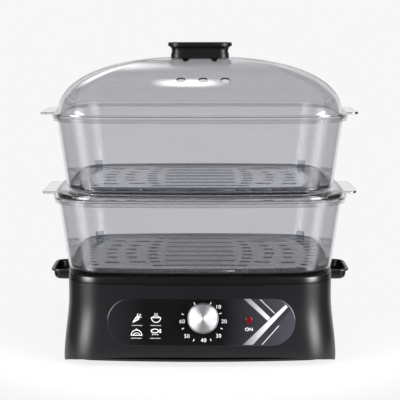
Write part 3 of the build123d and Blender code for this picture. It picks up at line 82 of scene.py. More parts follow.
COLLAR_TOP = top_of("water_tank")
LOWER_RIM = top_of("lower_basket")
UPPER_RIM = top_of("upper_basket")
BASKET_H = LOWER_RIM - COLLAR_TOP
UPPER_BOTTOM = UPPER_RIM - BASKET_H
LID_FOOT = foot_of("lid")
LID_H = (top_of("lid") - LID_FOOT) / TOP_SHARE
levels = (COLLAR_TOP, LOWER_RIM, UPPER_BOTTOM, UPPER_RIM, LID_FOOT)
print("levels in mm:", [round(level / MM, 1) for level in levels])

# %% [markdown]
# ## The camera
# A long lens from a little above the rim, as a catalogue view is taken. It comes first because
# everything after it is judged through it.

# %% Set up the camera
FRAME_PX = 400
FOCAL_PX = 1050.0            # focal length, counted in pixels of the frame
CAMERA_PLACE = (0.0, -1.263, 0.3947)
CAMERA_DIP = 9.78            # degrees that the lens looks down
camera_data = bpy.data.cameras.new("catalogue_lens")
camera_data.sensor_width = 36.0
camera_data.lens = FOCAL_PX * camera_data.sensor_width / FRAME_PX
camera = bpy.data.objects.new("catalogue_camera", camera_data)
camera.location = CAMERA_PLACE
camera.rotation_euler = (radians(90 - CAMERA_DIP), 0, 0)
bpy.context.collection.objects.link(camera)
bpy.context.scene.camera = camera
bpy.context.scene.view_settings.view_transform = "Standard"
print("lens:", round(camera_data.lens, 1), "mm")

# %% [markdown]
# ## Helpers for materials
# Colours are given as the hex value that a paint chart would name, and turned to linear light once.
# One function adds a node with its settings, and hands each input a value or another node to be
# linked from, so that a material reads as a list.


# %% Material helpers
SMOOTH = {"interpolation_type": "SMOOTHSTEP"}   # a map range that eases in and out


def linear(hex_colour):
    """sRGB hex such as '#20242a' as linear RGBA."""
    parts = [int(hex_colour[i:i + 2], 16) / 255 for i in (1, 3, 5)]
    values = [c / 12.92 if c <= 0.04045 else ((c + 0.055) / 1.055) ** 2.4 for c in parts]
    return (*values, 1.0)


def add_node(tree, kind, inputs=(), **settings):
    """Add a node; each input gets a value, an output, or another node's first output."""
    node = tree.nodes.new(kind)
    for key, value in settings.items():
        setattr(node, key, value)
    for socket, source in dict(inputs).items():
        if isinstance(source, bpy.types.Node):
            source = source.outputs[0]
        if isinstance(source, bpy.types.NodeSocket):
            tree.links.new(source, node.inputs[socket])
        else:
            node.inputs[socket].default_value = source
    return node


def new_material(name, **sockets):
    """A material with one Principled shader whose constant sockets are set here."""
    material = bpy.data.materials.new(name)
    material.use_nodes = True
    shader = material.node_tree.nodes["Principled BSDF"]
    for key, value in sockets.items():
        shader.inputs[key.replace("_", " ")].default_value = value
    return material, material.node_tree, shader


def grain(tree, shader, size_mm, depth_mm, rough, spread):
    """Fine moulded grain: noise of a real size drives bump and a little roughness."""
    place = add_node(tree, "ShaderNodeTexCoord").outputs["Object"]
    noise = add_node(tree, "ShaderNodeTexNoise",
                     {"Vector": place, "Scale": 1 / (size_mm * MM), "Detail": 2.0}).outputs["Fac"]
    bump = add_node(tree, "ShaderNodeBump",
                    {"Height": noise, "Strength": 1.0, "Distance": depth_mm * MM})
    tree.links.new(bump.outputs["Normal"], shader.inputs["Normal"])
    uneven = add_node(tree, "ShaderNodeMapRange",
                      {"Value": noise, "To Min": rough - spread, "To Max": rough + spread})
    tree.links.new(uneven.outputs["Result"], shader.inputs["Roughness"])
    return place


# %% [markdown]
# ## Clear polycarbonate
# Baskets and lid are injection-moulded polycarbonate with a light smoke tint. The wall is a real
# wall with two faces, so the shader is plain transmission: each wall takes a share of the light
# (the tint) and bends it at the rims. A trace of waviness from the mould keeps it from looking
# like air. The slotted floors carry painted shade: darker on their upright faces, and darker in
# the middle of the plate, with its ends painted lighter as a reflection. Their clips stay pale.


# %% Clear plastics
def clear_plastic(name, tint, rough, wave_depth_mm):
    """Clear wall whose tint varies in patches of about 56 mm and whose face waves every 36 mm."""
    material, tree, shader = new_material(name, IOR=1.58, Transmission_Weight=1.0)
    place = add_node(tree, "ShaderNodeTexCoord").outputs["Object"]
    haze = add_node(tree, "ShaderNodeTexNoise", {"Vector": place, "Scale": 18.0, "Detail": 2.0})
    # Inputs 6 and 7 of a colour mix are its two colours, and output 2 is the mixed one.
    shade = add_node(tree, "ShaderNodeMix", {"Factor": haze.outputs["Fac"], 6: linear(tint[0]),
                                             7: linear(tint[1])}, data_type="RGBA")
    tree.links.new(shade.outputs[2], shader.inputs["Base Color"])
    wave = add_node(tree, "ShaderNodeTexNoise", {"Vector": place, "Scale": 28.0, "Detail": 1.0})
    bump = add_node(tree, "ShaderNodeBump", {"Height": wave.outputs["Fac"], "Strength": 1.0,
                                             "Distance": wave_depth_mm * MM})
    tree.links.new(bump.outputs["Normal"], shader.inputs["Normal"])
    shader.inputs["Roughness"].default_value = rough
    return material


# Baskets and lid: the eye sees their rims and what stands behind, and hardly the wall.
smoke_clear = clear_plastic("smoke_polycarbonate_moulded", ("#e4e4e6", "#dddde0"), 0.02, 0.05)
print("clear material:", smoke_clear.name)


def slotted_plastic_with_painted_shade(name, clip_foot):
    """The same plastic, with painted shade on upright faces and in the plate's middle."""
    material, tree, shader = new_material(name, IOR=1.58, Transmission_Weight=1.0, Roughness=0.03)
    surface = add_node(tree, "ShaderNodeTexCoord").outputs
    # Painted shade: faces that stand upright, the slots' walls among them, get the darker #868a94.
    upright = add_node(tree, "ShaderNodeSeparateXYZ", {"Vector": surface["Normal"]}).outputs["Z"]
    upright = add_node(tree, "ShaderNodeMath", {0: upright}, operation="ABSOLUTE")
    flat = add_node(tree, "ShaderNodeMapRange",
                    {"Value": upright, "From Min": 0.4, "From Max": 0.98}, **SMOOTH)
    axes = add_node(tree, "ShaderNodeSeparateXYZ", {"Vector": surface["Object"]}).outputs
    # Painted reflection: the plate is painted lighter towards its ends than in its middle.
    away = add_node(tree, "ShaderNodeMath", {0: axes["X"]}, operation="ABSOLUTE")
    outer = add_node(tree, "ShaderNodeMapRange",
                     {"Value": away, "From Min": 15 * MM, "From Max": 80 * MM}, **SMOOTH)
    # The clips above this height are kept out of the painted shade.
    clips = add_node(tree, "ShaderNodeMapRange",
                     {"Value": axes["Z"], "From Min": clip_foot, "From Max": clip_foot + 0.5 * MM},
                     **SMOOTH)
    pale = add_node(tree, "ShaderNodeMath", {0: flat, 1: clips}, operation="MAXIMUM")
    plate = add_node(tree, "ShaderNodeMix", {"Factor": outer, 6: linear("#a0a5b1"),
                                             7: linear("#cbcfd8")}, data_type="RGBA")
    tint = add_node(tree, "ShaderNodeMix", {"Factor": pale, 6: linear("#868a94"),
                                            7: plate.outputs[2]}, data_type="RGBA").outputs[2]
    tree.links.new(tint, shader.inputs["Base Color"])
    return material


# %% [markdown]
# ## Dark plastics
# The housing is charcoal ABS with a fine spark-eroded texture, so highlights on it are broad and
# soft. The tank's collar and scoops are polished black, which shows crisp reflections, and the
# panel is a gloss sheet with a printed fade from black to dark grey.


# %% Dark plastics
def moulded(name, colour, rough, size_mm=0.6, depth_mm=0.01, spread=0.03, ior=1.5):
    """Opaque moulded plastic with a grain of its own size and depth."""
    material, tree, shader = new_material(name, Base_Color=linear(colour), IOR=ior)
    grain(tree, shader, size_mm, depth_mm, rough, spread)
    return material


# Housing: a broad soft sheen at its corners.
satin_charcoal = moulded("satin_charcoal_abs", "#0f0f12", 0.29)
# Collar and scoops: narrower highlights than the housing's.
gloss_black = moulded("polished_black_abs", "#090909", 0.25, depth_mm=0.002, spread=0.02)
# Knobs: a deep black that mirrors little, so that they read by their outline.
knob_black = moulded("satin_black_abs", "#060607", 0.36, ior=1.36)
# Tray and base plate: waxy, with wide dull reflections.
tray_black = moulded("black_polypropylene", "#111112", 0.36)
# Feet and cord bush: nearly no highlight.
foot_rubber = moulded("black_rubber", "#161616", 0.7)


def panel_print():
    """Gloss sheet printed on its back: black in the middle, fading to greys at both ends."""
    material, tree, shader = new_material("panel_acrylic_printed", IOR=1.49)
    place = grain(tree, shader, 2.0, 0.001, 0.12, 0.02)
    across = add_node(tree, "ShaderNodeSeparateXYZ", {"Vector": place}).outputs["X"]
    along = add_node(tree, "ShaderNodeMapRange",
                     {"Value": across, "From Min": -106 * MM, "From Max": 109 * MM})
    fade = add_node(tree, "ShaderNodeValToRGB", {"Fac": along})
    stops = fade.color_ramp.elements
    stops[0].color = linear("#1b1b1e")
    stops[1].color = linear("#37373d")
    for position, colour in ((0.2, "#0a0a0b"), (0.6, "#0a0a0b"), (0.72, "#1e1e22")):
        stops.new(position).color = linear(colour)
    tree.links.new(fade.outputs["Color"], shader.inputs["Base Color"])
    return material


# Panel: a sharp sheen over a print that gives it depth.
panel_black = panel_print()
print("dark materials:", [m.name for m in (satin_charcoal, gloss_black, knob_black, panel_black)])

# %% [markdown]
# ## Metals and small materials
# Metals keep the default IOR and get their look from colour and roughness. The small parts inside
# show when a basket is lifted off, so each has what it is made of and not one shared grey.


# %% Metals and small materials
def metal(name, colour, rough, size_mm=0.4, depth_mm=0.004):
    """Metal with a faint unevenness, so that its highlight isn't a clean disc."""
    material, tree, shader = new_material(name, Base_Color=linear(colour), Metallic=1.0)
    grain(tree, shader, size_mm, depth_mm, rough, 0.05)
    return material


# Plated sheet and screws: cool grey with a soft shine.
zinc_steel = metal("zinc_plated_steel", "#b9bab8", 0.35)
# Shaft and clamp: a little warmer and brighter.
stainless = metal("stainless_steel_brushed", "#c4c2be", 0.3)
# Knob's face: bright, its highlight spread by the grooves.
spun_aluminium = metal("spun_aluminium", "#c9c9cc", 0.31)
# Springs and clips: darker, as rolled strip is.
spring_steel = metal("spring_steel_strip", "#8f8f90", 0.38)
# Lid screws: small dark dots seen through the dome.
dark_steel = metal("blackened_steel", "#2a2a2c", 0.45)
# Heating element: dull brownish grey.
sheath_steel = metal("annealed_sheath_steel", "#7d7873", 0.5)
# Heater plate: pale, with the coarse skin of a casting.
cast_aluminium = metal("die_cast_aluminium", "#c9c9c7", 0.45, 1.2, 0.02)
# Contacts and terminals: the one yellow metal.
brass = metal("stamped_brass", "#c9a24e", 0.32)
# Sleeve, cam and blocks: cream with a faint sheen.
white_nylon = moulded("natural_nylon", "#dedbd0", 0.45)
# Seal: brick red and soft.
silicone_red = moulded("silicone_seal", "#a04a32", 0.55)
# Thermostat: brownish black and dry.
phenolic = moulded("black_phenolic", "#191817", 0.5)
# Fuse sleeve: chalky, with the bumps of a weave.
glass_sleeve = moulded("glass_fibre_sleeve", "#d8d6cc", 0.7, 0.8, 0.03)
# Wires: plain colours with a low shine.
brown_wire = moulded("brown_wire_insulation", "#5a3520", 0.45)
blue_wire = moulded("blue_wire_insulation", "#1f4e94", 0.45)
# Lamp lens: deep red and glossy, with small bumps.
red_lens = moulded("red_lens_acrylic", "#4f0a0b", 0.15, 1.0, 0.05)
# Bulb: pale and shiny.
bulb_glass = moulded("neon_bulb_glass", "#e6ded2", 0.1)
# Figures and symbols: the whitest mark on the panel.
legend_ink = moulded("legend_ink_white", "#f7f7f7", 0.4)


def shaded_silver():
    """Silver ink printed with a fade: dark where the stripes start, bright where they cross."""
    material, tree, shader = new_material("silver_ink_print", IOR=1.5, Roughness=0.3)
    place = add_node(tree, "ShaderNodeTexCoord").outputs["Object"]
    across = add_node(tree, "ShaderNodeSeparateXYZ", {"Vector": place}).outputs["X"]
    fade = add_node(tree, "ShaderNodeMapRange",
                    {"Value": across, "From Min": 46 * MM, "From Max": 84 * MM}, **SMOOTH)
    ink = add_node(tree, "ShaderNodeMix", {"Factor": fade, 6: linear("#5c5d61"),
                                           7: linear("#b2b3b7")}, data_type="RGBA")
    tree.links.new(ink.outputs[2], shader.inputs["Base Color"])
    return material


# Stripes: their fade makes flat print look like folded metal.
silver_ink = shaded_silver()
# Dashes under the symbols: greyer than the figures.
caption_ink = moulded("legend_ink_grey", "#a9aaad", 0.4)
# Bands beside the stripes: just lighter than the panel.
shadow_ink = moulded("dark_grey_ink_print", "#26262a", 0.2, depth_mm=0.001)
print("materials so far:", len(bpy.data.materials))

# %% [markdown]
# ## The outline that every shell shares
# Lid, baskets, tray, tank and housing all follow one plan: a rounded rectangle whose four sides
# bow outwards, so that the stack reads as one body. Instead of typing points, each ring of
# vertices starts as a plain circle, and every vertex slides along its own direction until it meets
# the outline. All rings then have the same count of vertices and join without a twist.

# %% Bowed outline
RING = 240                   # vertices round each shell


def ray_to_circle(along, centre, radius):
    """Distance from the middle to a circle that lies round it, along a unit direction."""
    reach = along.dot(centre)
    return reach + sqrt(reach ** 2 - centre.length_squared + radius ** 2)


def bowed_outline(half_width, half_depth, corner, front_bow=FRONT_BOW, side_bow=SIDE_BOW):
    """The plan as a function: it takes a unit direction and gives the outline's point that way."""
    side_r = ((half_depth - front_bow) ** 2 + side_bow ** 2) / (2 * side_bow)
    front_r = ((half_width - side_bow) ** 2 + front_bow ** 2) / (2 * front_bow)
    side = Vector((half_width - side_r, 0))
    front = Vector((0, half_depth - front_r))
    span = front - side
    near = side_r - corner
    along = (near ** 2 - (front_r - corner) ** 2 + span.length_squared) / (2 * span.length)
    axis = span.normalized()
    middle = side + axis * along + Vector((-axis.y, axis.x)) * sqrt(near ** 2 - along ** 2)
    low = side + (middle - side).normalized() * side_r
    high = front + (middle - front).normalized() * front_r

    def point(way):
        ray = Vector((abs(way.x), abs(way.y)))
        tilt = atan2(ray.y, ray.x)
        if tilt < atan2(low.y, low.x):
            return way * ray_to_circle(ray, side, side_r)
        if tilt > atan2(high.y, high.x):
            return way * ray_to_circle(ray, front, front_r)
        return way * ray_to_circle(ray, middle, corner)

    return point


# %% [markdown]
# ## A shell from its section
# A moulded shell is one section carried round the plan. The section is given as stations: an
# outline and a height each. The first ring is extruded from station to station, and the last ring
# either meets the first, which makes a wall with two faces, or is capped.


# %% Shell builder
PLAN_RATIO = 1.5             # width to depth of the plan, which spreads a ring's vertices evenly


def plan_way(turn):
    """Unit direction in the plan for a turn round the middle."""
    return Vector((PLAN_RATIO * cos(turn), sin(turn))).normalized()


def flat_ring(outline, height, centre=(0, 0)):
    """Station at one height: it gives the point of the ring for a turn round its middle."""
    def point(turn):
        spot = outline(plan_way(turn))
        return Vector((spot.x + centre[0], spot.y + centre[1], height))

    return point


def place_ring(vertices, turn_layer, station):
    """Move a ring of vertices onto its station."""
    for vertex in vertices:
        vertex.co = station(vertex[turn_layer])


def ring_shell(stations, ends="joined", segments=RING):
    """Bmesh of a shell through its stations; ends is joined, capped or open."""
    mesh = bmesh.new()
    turn_layer = mesh.verts.layers.float.new("turn")
    ring = bmesh.ops.create_circle(mesh, segments=segments, radius=1)["verts"]
    for vertex in ring:
        vertex[turn_layer] = atan2(vertex.co.y, vertex.co.x)
    first = list(mesh.edges)
    edges = first
    place_ring(ring, turn_layer, stations[0])
    for station in stations[1:]:
        made = bmesh.ops.extrude_edge_only(mesh, edges=edges)["geom"]
        ring = {item for item in made if isinstance(item, bmesh.types.BMVert)}
        edges = [item for item in made
                 if isinstance(item, bmesh.types.BMEdge) and ring.issuperset(item.verts)]
        place_ring(ring, turn_layer, station)
    if ends == "joined":
        bmesh.ops.bridge_loops(mesh, edges=first + edges)
    if ends == "capped":
        bmesh.ops.edgeloop_fill(mesh, edges=first)
        bmesh.ops.edgeloop_fill(mesh, edges=edges)
    if ends != "open":
        bmesh.ops.recalc_face_normals(mesh, faces=mesh.faces)
    return mesh


# %% [markdown]
# ## Finishing a piece
# Every piece ends the same way: its mesh becomes an object at the origin, small edges get a real
# rounding so that they catch a line of light, faces shade smooth except across sharp edges, and
# the piece is tied to the body it moves with.


# %% Piece finisher
def finish_piece(mesh, name, material, body, stands_for=(), edge_mm=0.0, sharp=32):
    """Turn a bmesh into a named piece of the object."""
    data = bpy.data.meshes.new(name)
    mesh.to_mesh(data)
    mesh.free()
    piece = bpy.data.objects.new(name, data)
    bpy.context.collection.objects.link(piece)
    data.materials.append(material)
    data.shade_smooth()
    data.set_sharp_from_angle(angle=radians(sharp))
    if edge_mm:
        rounding = piece.modifiers.new("moulded_edge", "BEVEL")
        rounding.width = edge_mm * MM
        rounding.segments = 2
        rounding.limit_method = "ANGLE"
        rounding.angle_limit = radians(sharp)
        rounding.harden_normals = True
    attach(piece, body)
    if stands_for:
        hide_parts(*stands_for)
    print(name, len(data.polygons), "faces")
    return piece


def joined(base_mesh, other_mesh, operation):
    """Bmesh of two closed meshes added together, or of the first cut by the second."""
    holders = []
    for index, mesh in enumerate((base_mesh, other_mesh)):
        data = bpy.data.meshes.new(f"working_{index}")
        mesh.to_mesh(data)
        mesh.free()
        holder = bpy.data.objects.new(data.name, data)
        bpy.context.collection.objects.link(holder)
        holders.append(holder)
    base, other = holders
    step = base.modifiers.new("working", "BOOLEAN")
    step.operation = operation
    step.solver = "EXACT"
    step.object = other
    bpy.context.view_layer.update()
    result = bmesh.new()
    result.from_object(base, bpy.context.evaluated_depsgraph_get())
    for holder in holders:
        data = holder.data
        bpy.data.objects.remove(holder)
        bpy.data.meshes.remove(data)
    return result


def gathered(meshes):
    """One bmesh holding several."""
    data = bpy.data.meshes.new("gathered")
    whole = bmesh.new()
    for mesh in meshes:
        mesh.to_mesh(data)
        mesh.free()
        whole.from_mesh(data)
    bpy.data.meshes.remove(data)
    return whole


# %% [markdown]
# ## The baskets
# One mould makes both bowls: a wall that leans out towards the rim, a rounded bottom edge with a
# ledge that carries the slotted floor, and a rim flange with a collar hanging from it. The upper
# bowl also stands on a skirt, with a rib under it that drops inside the rim below. The section is
# listed as (height above the bottom, distance in from the wall's outside), so the whole bowl is
# one closed wall, which clear plastic needs to bend light properly.

# %% Basket section
BASKET_HALF_WIDTH = 155.9 * MM
BASKET_HALF_DEPTH = 103.9 * MM
BASKET_FLARE = 10.2 * MM     # how far the wall leans out by the rim
BASKET_WALL = 2.5 * MM
EDGE_ROUND = 8.0 * MM
LEDGE = 14.0 * MM
RIM_REACH = 4.6 * MM
RIM_T = 2.5 * MM
COLLAR_DROP = 7.0 * MM
COLLAR_T = 2.0 * MM
SKIRT_H = UPPER_BOTTOM - LOWER_RIM
RIB_H = 3 * MM               # locating rib under a bowl
SKIRT_TOP = 0.4 * MM         # where the skirt meets the rounded edge
EDGE_STEPS = 8


def basket_station(bottom, height, inset):
    """One ring of a bowl."""
    reach = BASKET_FLARE * max(0.0, height) / BASKET_H - inset
    outline = bowed_outline(BASKET_HALF_WIDTH + reach, BASKET_HALF_DEPTH + reach, CORNER - inset)
    return flat_ring(outline, bottom + height)


def rounded_edge(radius, rising):
    """Heights and insets along the bowl's rounded bottom edge, from the ledge up or back down."""
    turns = [pi / 2 * step / EDGE_STEPS for step in range(EDGE_STEPS + 1)]
    points = [(EDGE_ROUND - radius * cos(t), EDGE_ROUND - radius * sin(t)) for t in turns]
    return points if rising else points[::-1]


def basket_section(stacks):
    """Heights and insets round the bowl's section, starting at the ledge's inner lower edge."""
    lower_foot = [(0, LEDGE), (0, 13.3 * MM), (-RIB_H, 13.3 * MM), (-RIB_H, 11.3 * MM),
                  (0, 11.3 * MM)]
    skirt = [(-SKIRT_H, LEDGE), (-SKIRT_H, -4.7 * MM), (-SKIRT_H - RIB_H, -4.7 * MM),
             (-SKIRT_H - RIB_H, -6.7 * MM), (-SKIRT_H, -6.7 * MM), (-SKIRT_H, -11.5 * MM),
             (-0.6 * MM, -11.5 * MM), (0, -10.9 * MM), (SKIRT_TOP, -9 * MM)]
    outer = rounded_edge(EDGE_ROUND, rising=True)
    inner = rounded_edge(EDGE_ROUND - BASKET_WALL, rising=False)
    wall = [(BASKET_H * share, 0) for share in (0.3, 0.6)]
    rim = [(BASKET_H - RIM_T, 0), (BASKET_H - RIM_T, COLLAR_T - RIM_REACH),
           (BASKET_H - COLLAR_DROP, COLLAR_T - RIM_REACH), (BASKET_H - COLLAR_DROP, -RIM_REACH),
           (BASKET_H, -RIM_REACH), (BASKET_H, BASKET_WALL)]
    back = [(height, BASKET_WALL) for height, _ in wall[::-1]]
    above_skirt = [point for point in outer if point[0] > SKIRT_TOP]
    start = skirt + above_skirt if stacks else lower_foot + outer
    return start + wall + rim + back + inner + [(BASKET_WALL, LEDGE)]


# %% [markdown]
# ## Tabs on the rim
# A flat tab sticks out of the rim at each end, for lifting a hot basket. It is a separate slab,
# merged into the bowl with an exact boolean so that no face is left inside the clear wall.

# %% Tabs
TAB_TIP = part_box("upper_basket")[1].x
TAB_HALF = 40.0 * MM
TAB_T = 2.6 * MM
TAB_DROP = 0.8 * MM          # the tab's top lies this far below the rim's
TAB_CORNER = 10.0 * MM
TAB_ROOT = BASKET_HALF_WIDTH + BASKET_FLARE - 6 * MM


def tab_slab(bottom, side):
    """One tab, its inner end inside the rim's collar."""
    mesh = bmesh.new()
    bmesh.ops.create_cube(mesh, size=1)
    for vertex in mesh.verts:
        vertex.co.x = side * (TAB_TIP if vertex.co.x > 0 else TAB_ROOT)
        vertex.co.y *= 2 * TAB_HALF
        vertex.co.z = bottom + BASKET_H - TAB_DROP - (TAB_T if vertex.co.z < 0 else 0)
    posts = [edge for edge in mesh.edges
             if abs(edge.verts[0].co.z - edge.verts[1].co.z) > TAB_T / 2
             and abs(edge.verts[0].co.x) > TAB_TIP - TAB_CORNER]
    bmesh.ops.bevel(mesh, geom=posts, offset=TAB_CORNER, affect="EDGES", segments=8, profile=0.5,
                    material=-1)
    bmesh.ops.recalc_face_normals(mesh, faces=mesh.faces)
    return mesh


def clear_wall_cutter(bottom):
    """Solid that fills the bowl up to the middle of its collar, to trim the tabs' inner ends."""
    inset = COLLAR_T / 2 - RIM_REACH
    heights = (BASKET_H - COLLAR_DROP, BASKET_H + RIM_T)
    return ring_shell([basket_station(bottom, height, inset) for height in heights], ends="capped")


def make_basket(name, bottom, body, stacks):
    """A bowl with its two tabs, as a finished piece."""
    section = basket_section(stacks)
    bowl = ring_shell([basket_station(bottom, height, inset) for height, inset in section])
    for side in (1, -1):
        slab = joined(tab_slab(bottom, side), clear_wall_cutter(bottom), "DIFFERENCE")
        bowl = joined(bowl, slab, "UNION")
    finish_piece(bowl, f"{name}_bowl", smoke_clear, body, (name,), edge_mm=0.5)


make_basket("lower_basket", COLLAR_TOP, "lower_tier", stacks=False)
make_basket("upper_basket", UPPER_BOTTOM, "upper_tier", stacks=True)

# %% [markdown]
# ## The slotted floors
# Each basket holds a clear floor that steam rises through: a plate with a raised border, a
# down-turned edge to stand on, and rows of slots. All slots are cut at once by one set of cutters
# whose ends flare, because the small slopes at a slot's edge are what draws it in clear plastic.

# %% Slotted floors
GRID_TOP = 8.5 * MM          # top of the plate above the bowl's bottom
GRID_T = 2.5 * MM
CLIP_SHOWS = 11.0 * MM       # above this height only the clips stand
SLOT_R = 2.0 * MM
SLOT_SLOPE = 0.8 * MM
SLOT_SEGMENTS = 20
CUT_PAST = 0.4 * MM          # how far a cutter stands out of the plate
CLIP_SIZE = Vector((10.5, 1.6, 8.0)) * MM
CLIP_TURN = radians(52)
CLIP_INSET = 6.9 * MM
CLIP_SUNK = 0.5 * MM         # the clip's foot goes this far into the plate
# Heights above the bottom and insets round the floor's section, in mm.
FLOOR_SECTION = [(6.0, 10.9), (6.0, 10.5), (2.52, 10.5), (2.52, 8.5), (6.0, 8.5), (6.0, 3.9),
                 (6.4, 3.4), (9.8, 3.35), (10.2, 3.6), (10.3, 4.2), (10.2, 5.0), (9.6, 5.5),
                 (8.8, 5.75), (8.5, 6.3)]


def slot_cutter(across, deep, length, low, high):
    """Cutter of one slot, wider at both faces of the plate."""
    half = length / 2 - SLOT_R

    def ring(level, spread):
        def point(turn):
            side = 1 if cos(turn) >= 0 else -1
            reach = SLOT_R + spread
            return Vector((across + side * half + reach * cos(turn), deep + reach * sin(turn),
                           level))

        return point

    section = [ring(low - CUT_PAST, SLOT_SLOPE + CUT_PAST), ring(low + SLOT_SLOPE, 0),
               ring(high - SLOT_SLOPE, 0), ring(high + CUT_PAST, SLOT_SLOPE + CUT_PAST)]
    return ring_shell(section, ends="capped", segments=SLOT_SEGMENTS)


def slot_column(reach, bulge, half_span, count, length):
    """Places and lengths of short slots in a column at each end of the floor, from mm."""
    slots = []
    for index in range(count):
        share = 2 * index / (count - 1) - 1
        across = (reach - bulge * share ** 2) * MM
        slots += [(side * across, half_span * share * MM, length * MM) for side in (1, -1)]
    return slots


SLOTS = [(0, 25 * MM * step, 82 * MM) for step in range(-3, 4)]
for column in ((58, 9, 76, 9, 11), (85, 4, 33, 4, 11), (108, 3, 33, 4, 11), (73, 0, 58, 2, 18),
               (103, 0, 60, 2, 16), (136, 14, 72, 10, 9)):
    SLOTS += slot_column(*column)


def clip_block(bottom, side_x, side_y):
    """Snap clip that stands in a corner of the floor."""
    mesh = bmesh.new()
    bmesh.ops.create_cube(mesh, size=1)
    bmesh.ops.scale(mesh, vec=CLIP_SIZE + Vector((0, 0, CLIP_SUNK)), verts=mesh.verts)
    turn = Matrix.Rotation(side_x * side_y * (CLIP_TURN - pi / 2), 3, "Z")
    bmesh.ops.rotate(mesh, matrix=turn, verts=mesh.verts)
    reach = CORNER - CLIP_INSET
    place = Vector((BASKET_HALF_WIDTH - SIDE_BOW / 2 - CORNER + reach * cos(CLIP_TURN),
                    BASKET_HALF_DEPTH - FRONT_BOW / 2 - CORNER + reach * sin(CLIP_TURN)))
    level = bottom + GRID_TOP + CLIP_SIZE.z / 2 - CLIP_SUNK / 2
    bmesh.ops.translate(mesh, vec=(side_x * place.x, side_y * place.y, level), verts=mesh.verts)
    return mesh


def make_floor(name, bottom, body):
    """A slotted floor with its four clips, as a finished piece."""
    rings = [basket_station(bottom, height * MM, inset * MM) for height, inset in FLOOR_SECTION]
    plate = ring_shell(rings, ends="capped")
    low, high = bottom + GRID_TOP - GRID_T, bottom + GRID_TOP
    cutters = gathered([slot_cutter(*place, low, high) for place in SLOTS])
    plate = joined(plate, cutters, "DIFFERENCE")
    corners = [(side_x, side_y) for side_x in (1, -1) for side_y in (1, -1)]
    plate = joined(plate, gathered([clip_block(bottom, *corner) for corner in corners]), "UNION")
    # Darker than the bowls, with painted shade on its upright faces and in its middle,
    # so that the slots show as light lines in a smoky plate.
    floor_clear = slotted_plastic_with_painted_shade(f"smoke_polycarbonate_{name}", bottom + CLIP_SHOWS)
    finish_piece(plate, f"{name}_slotted", floor_clear, body, (name,))


make_floor("lower_grid", COLLAR_TOP, "lower_floor")
make_floor("upper_grid", UPPER_BOTTOM, "upper_floor")

# %% [markdown]
# ## The lid
# A dome that is full across its width and shallow across its depth: at each height both half sizes
# shrink by a power law of their own, which is what gives the long flat crown. The inner face
# follows the same law one wall further in. Three steam vents are bored square to its front slope,
# and the knob's two screws go through its crown.

# %% Lid
LID_HALF_WIDTH = 164.0 * MM
LID_HALF_DEPTH = 115.0 * MM
LID_WALL = 2.5 * MM
WIDTH_POWER = 2.4            # fullness of the dome across its width
DEPTH_POWER = 1.5            # and across its depth
FLANGE_T = 2.0 * MM
DOME_STEPS = 34
CROWN_EASE = 0.8             # brings the rings closer together towards the crown
VENT_R = 5.2 * MM
VENT_PITCH = 25.0 * MM
VENT_PLACE = Vector((3.5 * MM, -70.0 * MM, LID_FOOT + LID_H / 2))
VENT_SLOPE = radians(29)
SCREW_REACH = 17.0 * MM      # from the middle to each of the knob's two screws
SCREW_HOLE_R = 1.95 * MM


def dome_outline(share, inset):
    """The dome's plan at a share of its height."""
    width = (1 - share ** WIDTH_POWER) ** (1 / WIDTH_POWER)
    depth = (1 - share ** DEPTH_POWER) ** (1 / DEPTH_POWER)
    return bowed_outline((LID_HALF_WIDTH - inset) * width, (LID_HALF_DEPTH - inset) * depth,
                         (CORNER - inset) * depth, FRONT_BOW * depth, SIDE_BOW * depth)


def dome_station(share, inset):
    """One ring of the dome, at a share of its height."""
    outline = dome_outline(share, inset)
    return flat_ring(outline, LID_FOOT + share * (LID_H - inset))


def dome_shares():
    """Shares of the height, closer together towards the crown where the dome turns fastest."""
    turns = [pi / 2 * step / DOME_STEPS for step in range(DOME_STEPS + 1)]
    return [TOP_SHARE * sin(turn) ** CROWN_EASE for turn in turns]


def drill(radius, slope, place, segments):
    """Round drill as long as the lid is high, leaning by a slope towards the front."""
    mesh = bmesh.new()
    bmesh.ops.create_cone(mesh, cap_ends=True, segments=segments, radius1=radius, radius2=radius,
                          depth=LID_H)
    bmesh.ops.rotate(mesh, verts=mesh.verts, matrix=Matrix.Rotation(slope, 3, "X"))
    bmesh.ops.translate(mesh, verts=mesh.verts, vec=place)
    return mesh


flange = bowed_outline(LID_HALF_WIDTH + 4.5 * MM, LID_HALF_DEPTH + 2.5 * MM, CORNER)
foot_share = FLANGE_T / LID_H
dome_outer = [dome_station(share, 0) for share in dome_shares() if share > foot_share]
dome_inner = [dome_station(share, LID_WALL) for share in dome_shares()[::-1]]
lid_stations = dome_inner + [flat_ring(flange, LID_FOOT), flat_ring(flange, LID_FOOT + FLANGE_T),
                             dome_station(foot_share, 0)]
lid_mesh = ring_shell(lid_stations + dome_outer, ends="capped")
drills = [drill(VENT_R, VENT_SLOPE, VENT_PLACE + Vector((offset, 0, 0)), 40)
          for offset in (-VENT_PITCH, 0, VENT_PITCH)]
drills += [drill(SCREW_HOLE_R, 0, (across, 0, LID_FOOT + LID_H), 24)
           for across in (-SCREW_REACH, SCREW_REACH)]
lid_mesh = joined(lid_mesh, gathered(drills), "DIFFERENCE")
finish_piece(lid_mesh, "lid_dome", smoke_clear, "lid", ("lid",), edge_mm=0.4)

# %% [markdown]
# ## The lid's knob
# A black bar with a wide flat cap and a narrower waist, so that fingers get under it. Its foot
# follows the dome: for each vertex of the lowest ring, the dome's height there is searched by
# halving the interval of its height share.

# %% Lid knob
KNOB_TOP = top_of("lid_knob")
KNOB_HALF_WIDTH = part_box("lid_knob")[1].x
KNOB_HALF_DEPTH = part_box("lid_knob")[1].y
KNOB_CORNER = 15.0 * MM
WAIST_INSET = 4.5 * MM
WAIST_TOP = -10.5 * MM       # below the knob's top
THROAT_RISE = 6.0 * MM
THROAT_FLARE = 4.2 * MM
CAP_T = 4.0 * MM
SOFT_BOW = 0.6 * MM          # a nearly straight side


